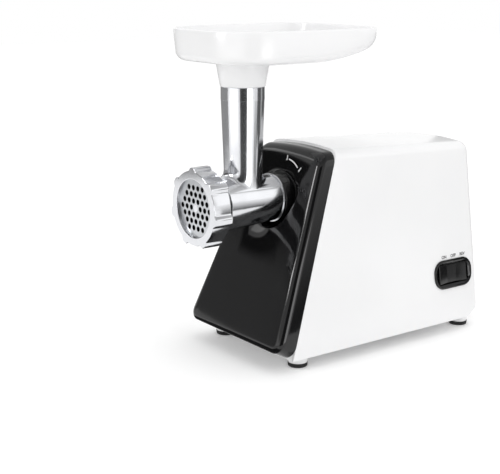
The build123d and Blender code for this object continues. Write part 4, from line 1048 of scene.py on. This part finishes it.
# %% Rocker
PIVOT_DEPTH, ROCKER_HALF, ROCKER_ROUND = 7.0, 10.5, 1.2
rocker_outline = rounded(
    ((-20.2, 8.2), 1.0), ((-21.8, 0.5), 1.0), ((0.0, -4.9), 2.0), ((21.8, 0.5), 1.0),
    ((20.2, 8.2), 1.0), ((6.5, 5.2), 1.6), ((-6.5, 5.2), 1.6),
    steps=5,
)
rocker_rings = []
for side, rounds in ((-1, quarter(4)), (1, quarter(4)[::-1])):
    for s, c in rounds:
        across = side * (ROCKER_HALF - ROCKER_ROUND * (1 - c))
        edge = inset(rocker_outline, ROCKER_ROUND * (1 - s))
        rocker_rings.append([on_side(Vector((p.x, across)), p.y - PIVOT_DEPTH) for p in edge])
rocker = loft("switch_rocker_smooth", rocker_rings, closed=False)
dress(rocker, smooth_nylon, "rocker", "black_nylon", "switch_rocker", sharp=30)

# %% [markdown]
# ## Feet, gland and screws
#
# All of these are turned from a short table of corners. Two crossed boxes are cut from each screw head,
# because a real recess keeps its shade from every side.

# %% Feet
pad_profile = rounded(
    ((0.0, 0.5), 0.0), ((0.0, 9.6), 1.0), ((4.2, 10.0), 0.5),
    ((4.2, 3.0), 0.0), ((6.4, 3.0), 0.6), ((6.4, 0.5), 0.0),
    steps=5,
)
for name, (x, y) in zip(("front_left", "front_right", "rear_left", "rear_right"), FOOT_PLACES):
    pad = turned("foot_pad_" + name + "_rubber", pad_profile, upright(x, y), steps=64)
    dress(pad, rubber, "base", "rubber", "foot_pad_" + name)

# %% Cord gland
gland_profile = rounded(
    ((152.5, 3.6), 0.2), ((161.5, 3.6), 0.9), ((161.5, 6.4), 0.5),
    ((158.7, 6.4), 0.2), ((158.7, 9.0), 0.4), ((152.5, 9.0), 0.4),
    steps=4,
)
gland = turned("cord_gland_moulded", gland_profile, gland_axis, steps=64)
dress(gland, black_nylon, "base", "black_nylon", "cord_gland")

# %% Screws
RECESS_LONG, RECESS_WIDE, RECESS_FROM_TO = 3.4, 0.7, (9.0, 11.7)
screw_profile = rounded(
    ((10.6, 0.1), 0.0), ((10.6, 3.2), 0.9), ((12.6, 3.2), 0.15),
    ((12.6, 1.5), 0.1), ((25.5, 1.5), 0.4), ((25.5, 0.1), 0.0),
    steps=5,
)


def screw(x, y):
    """A pan-head screw that points up, with a cross recess."""
    made = turned("screw", screw_profile, upright(x, y), steps=48)
    for size in ((RECESS_LONG, RECESS_WIDE), (RECESS_WIDE, RECESS_LONG)):
        rings = [[(x + across, y + deep, z) for across, deep in box_corners(*size)] for z in RECESS_FROM_TO]
        combine(made, loft("recess", rings, closed=False), "DIFFERENCE")
    return made


for name, places in (
    ("base_screws", [(x, y) for y in (-24.4, 88.6) for x in (-68.6, 68.6)]),
    ("case_screws", [(x, y) for y in (-19.5, 9.0) for x in (-22.0, 22.0)]),
):
    group = join(*[screw(x, y) for x, y in places])
    group.name = name + "_cross_head"
    dress(group, bright_steel, "base", "bright_steel", name)

# %% [markdown]
# ## Printed marks
#
# Three words above the switch and a short white arc on the panel are pad printed. Ink has almost no
# thickness, so the type is turned into flat faces and laid just above the surface that carries it.

# %% Words above the switch
INK_LIFT = 0.06
LETTER_SIZE, LETTER_WEIGHT, WORD_HEIGHT = 4.5, 0.13, 18.6
# Pad-printed ink: flat and slightly dull on the gloss of the plastic.
dark_ink = finish("dark_grey_ink_printed", ("#2B2B2D", "#232325"), (0.45, 0.55), 3, 0.4, 0.001)
white_ink = finish("white_ink_printed", ("#F2F2F2", "#E6E6E6"), (0.45, 0.55), 3, 0.4, 0.001)
side_axes = Matrix((SWITCH_U, SWITCH_V, SWITCH_N)).transposed().to_4x4()
for word, along in (("ON", -11.4), ("OFF", 2.3), ("REV", 16.1)):
    font = bpy.data.curves.new("type", "FONT")
    font.body = word
    font.size = LETTER_SIZE * MM
    font.offset = LETTER_WEIGHT * MM
    font.align_x = font.align_y = "CENTER"
    mesh = curve_mesh(font)
    middle = on_side(Vector((along, WORD_HEIGHT)), INK_LIFT) * MM
    mesh.transform(Matrix.Translation(middle) @ side_axes)
    printed = add_object("print_" + word.lower(), mesh)
    dress(printed, dark_ink, "base", "black_abs")

# %% Lock mark on the panel
MARK_RADIUS, MARK_START, MARK_STEP, MARK_POINTS = 37.4, 84, 2, 15
STROKE, HEEL_STROKE = 1.2, 1.5


def stroke(path, width):
    """A flat strip along a path on the panel's face."""
    points, faces = [], []
    for k, here in enumerate(path):
        along = (path[min(k + 1, len(path) - 1)] - path[max(k - 1, 0)]).normalized()
        side = Vector((-along.y, along.x)) * (width / 2)
        points += [(p.x, face_y(p) - INK_LIFT, p.y) for p in (here + side, here - side)]
    for k in range(len(path) - 1):
        faces.append((2 * k, 2 * k + 1, 2 * k + 3, 2 * k + 2))
    return shape("stroke", points, faces)


def about_axis(degrees, radius):
    """A point of the panel's face about the barrel's axis."""
    turn = math.radians(degrees)
    return AXIS + Vector((math.cos(turn), math.sin(turn))) * radius


mark = stroke([about_axis(MARK_START - MARK_STEP * k, MARK_RADIUS) for k in range(MARK_POINTS)], STROKE)
for angle, reach in ((89.5, 38.4), (50.6, 39.2)):
    bar = stroke([about_axis(angle - 1.6, reach - 2.2), about_axis(angle, reach + 2.2)], STROKE)
    heel = stroke([about_axis(angle - 2.6, reach - 2.0), about_axis(angle + 0.4, reach - 1.6)], HEEL_STROKE)
    join(mark, bar, heel)
mark.name = "print_lock_mark"
dress(mark, white_ink, "base", "white_abs")

# %% [markdown]
# ## Inner parts
#
# The motor, the gears and the screw inside keep their CAD shapes, which are already exact. They only get
# a finish.

# %% Finishes of the inner parts
inner_finish = {
    black_nylon: ["motor_buffer", "brush_holder_left", "brush_holder_right", "switch_body", "cooling_fan"],
    white_abs: ["base_plate"],
    stainless_steel: ["knife", "plate_key"],
    cast_aluminium: ["auger"],
    bright_steel: [
        "output_shaft", "first_gear_pin", "second_gear_pin", "armature_shaft",
        "front_bearing", "rear_bearing", "motor_bolts", "collar_screws", "cover_screws",
        "brush_spring_left", "brush_spring_right", "switch_terminals",
    ],
    sintered_steel: ["motor_pinion"],
    lamination_steel: ["stator_core", "armature_core"],
    copper: ["armature_windings", "commutator", "field_coil_left", "field_coil_right"],
    bronze: ["auger_bush", "output_front_bush", "output_rear_bush"],
    natural_nylon: ["first_gear", "second_gear", "output_gear"],
    grey_nylon: ["gear_case", "gear_case_cover", "motor_bracket"],
    carbon: ["carbon_brush_left", "carbon_brush_right"],
}
for material, names in inner_finish.items():
    for name in names:
        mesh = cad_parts[name].data
        mesh.materials.clear()
        mesh.materials.append(material)
print("inner parts:", sum(len(names) for names in inner_finish.values()))
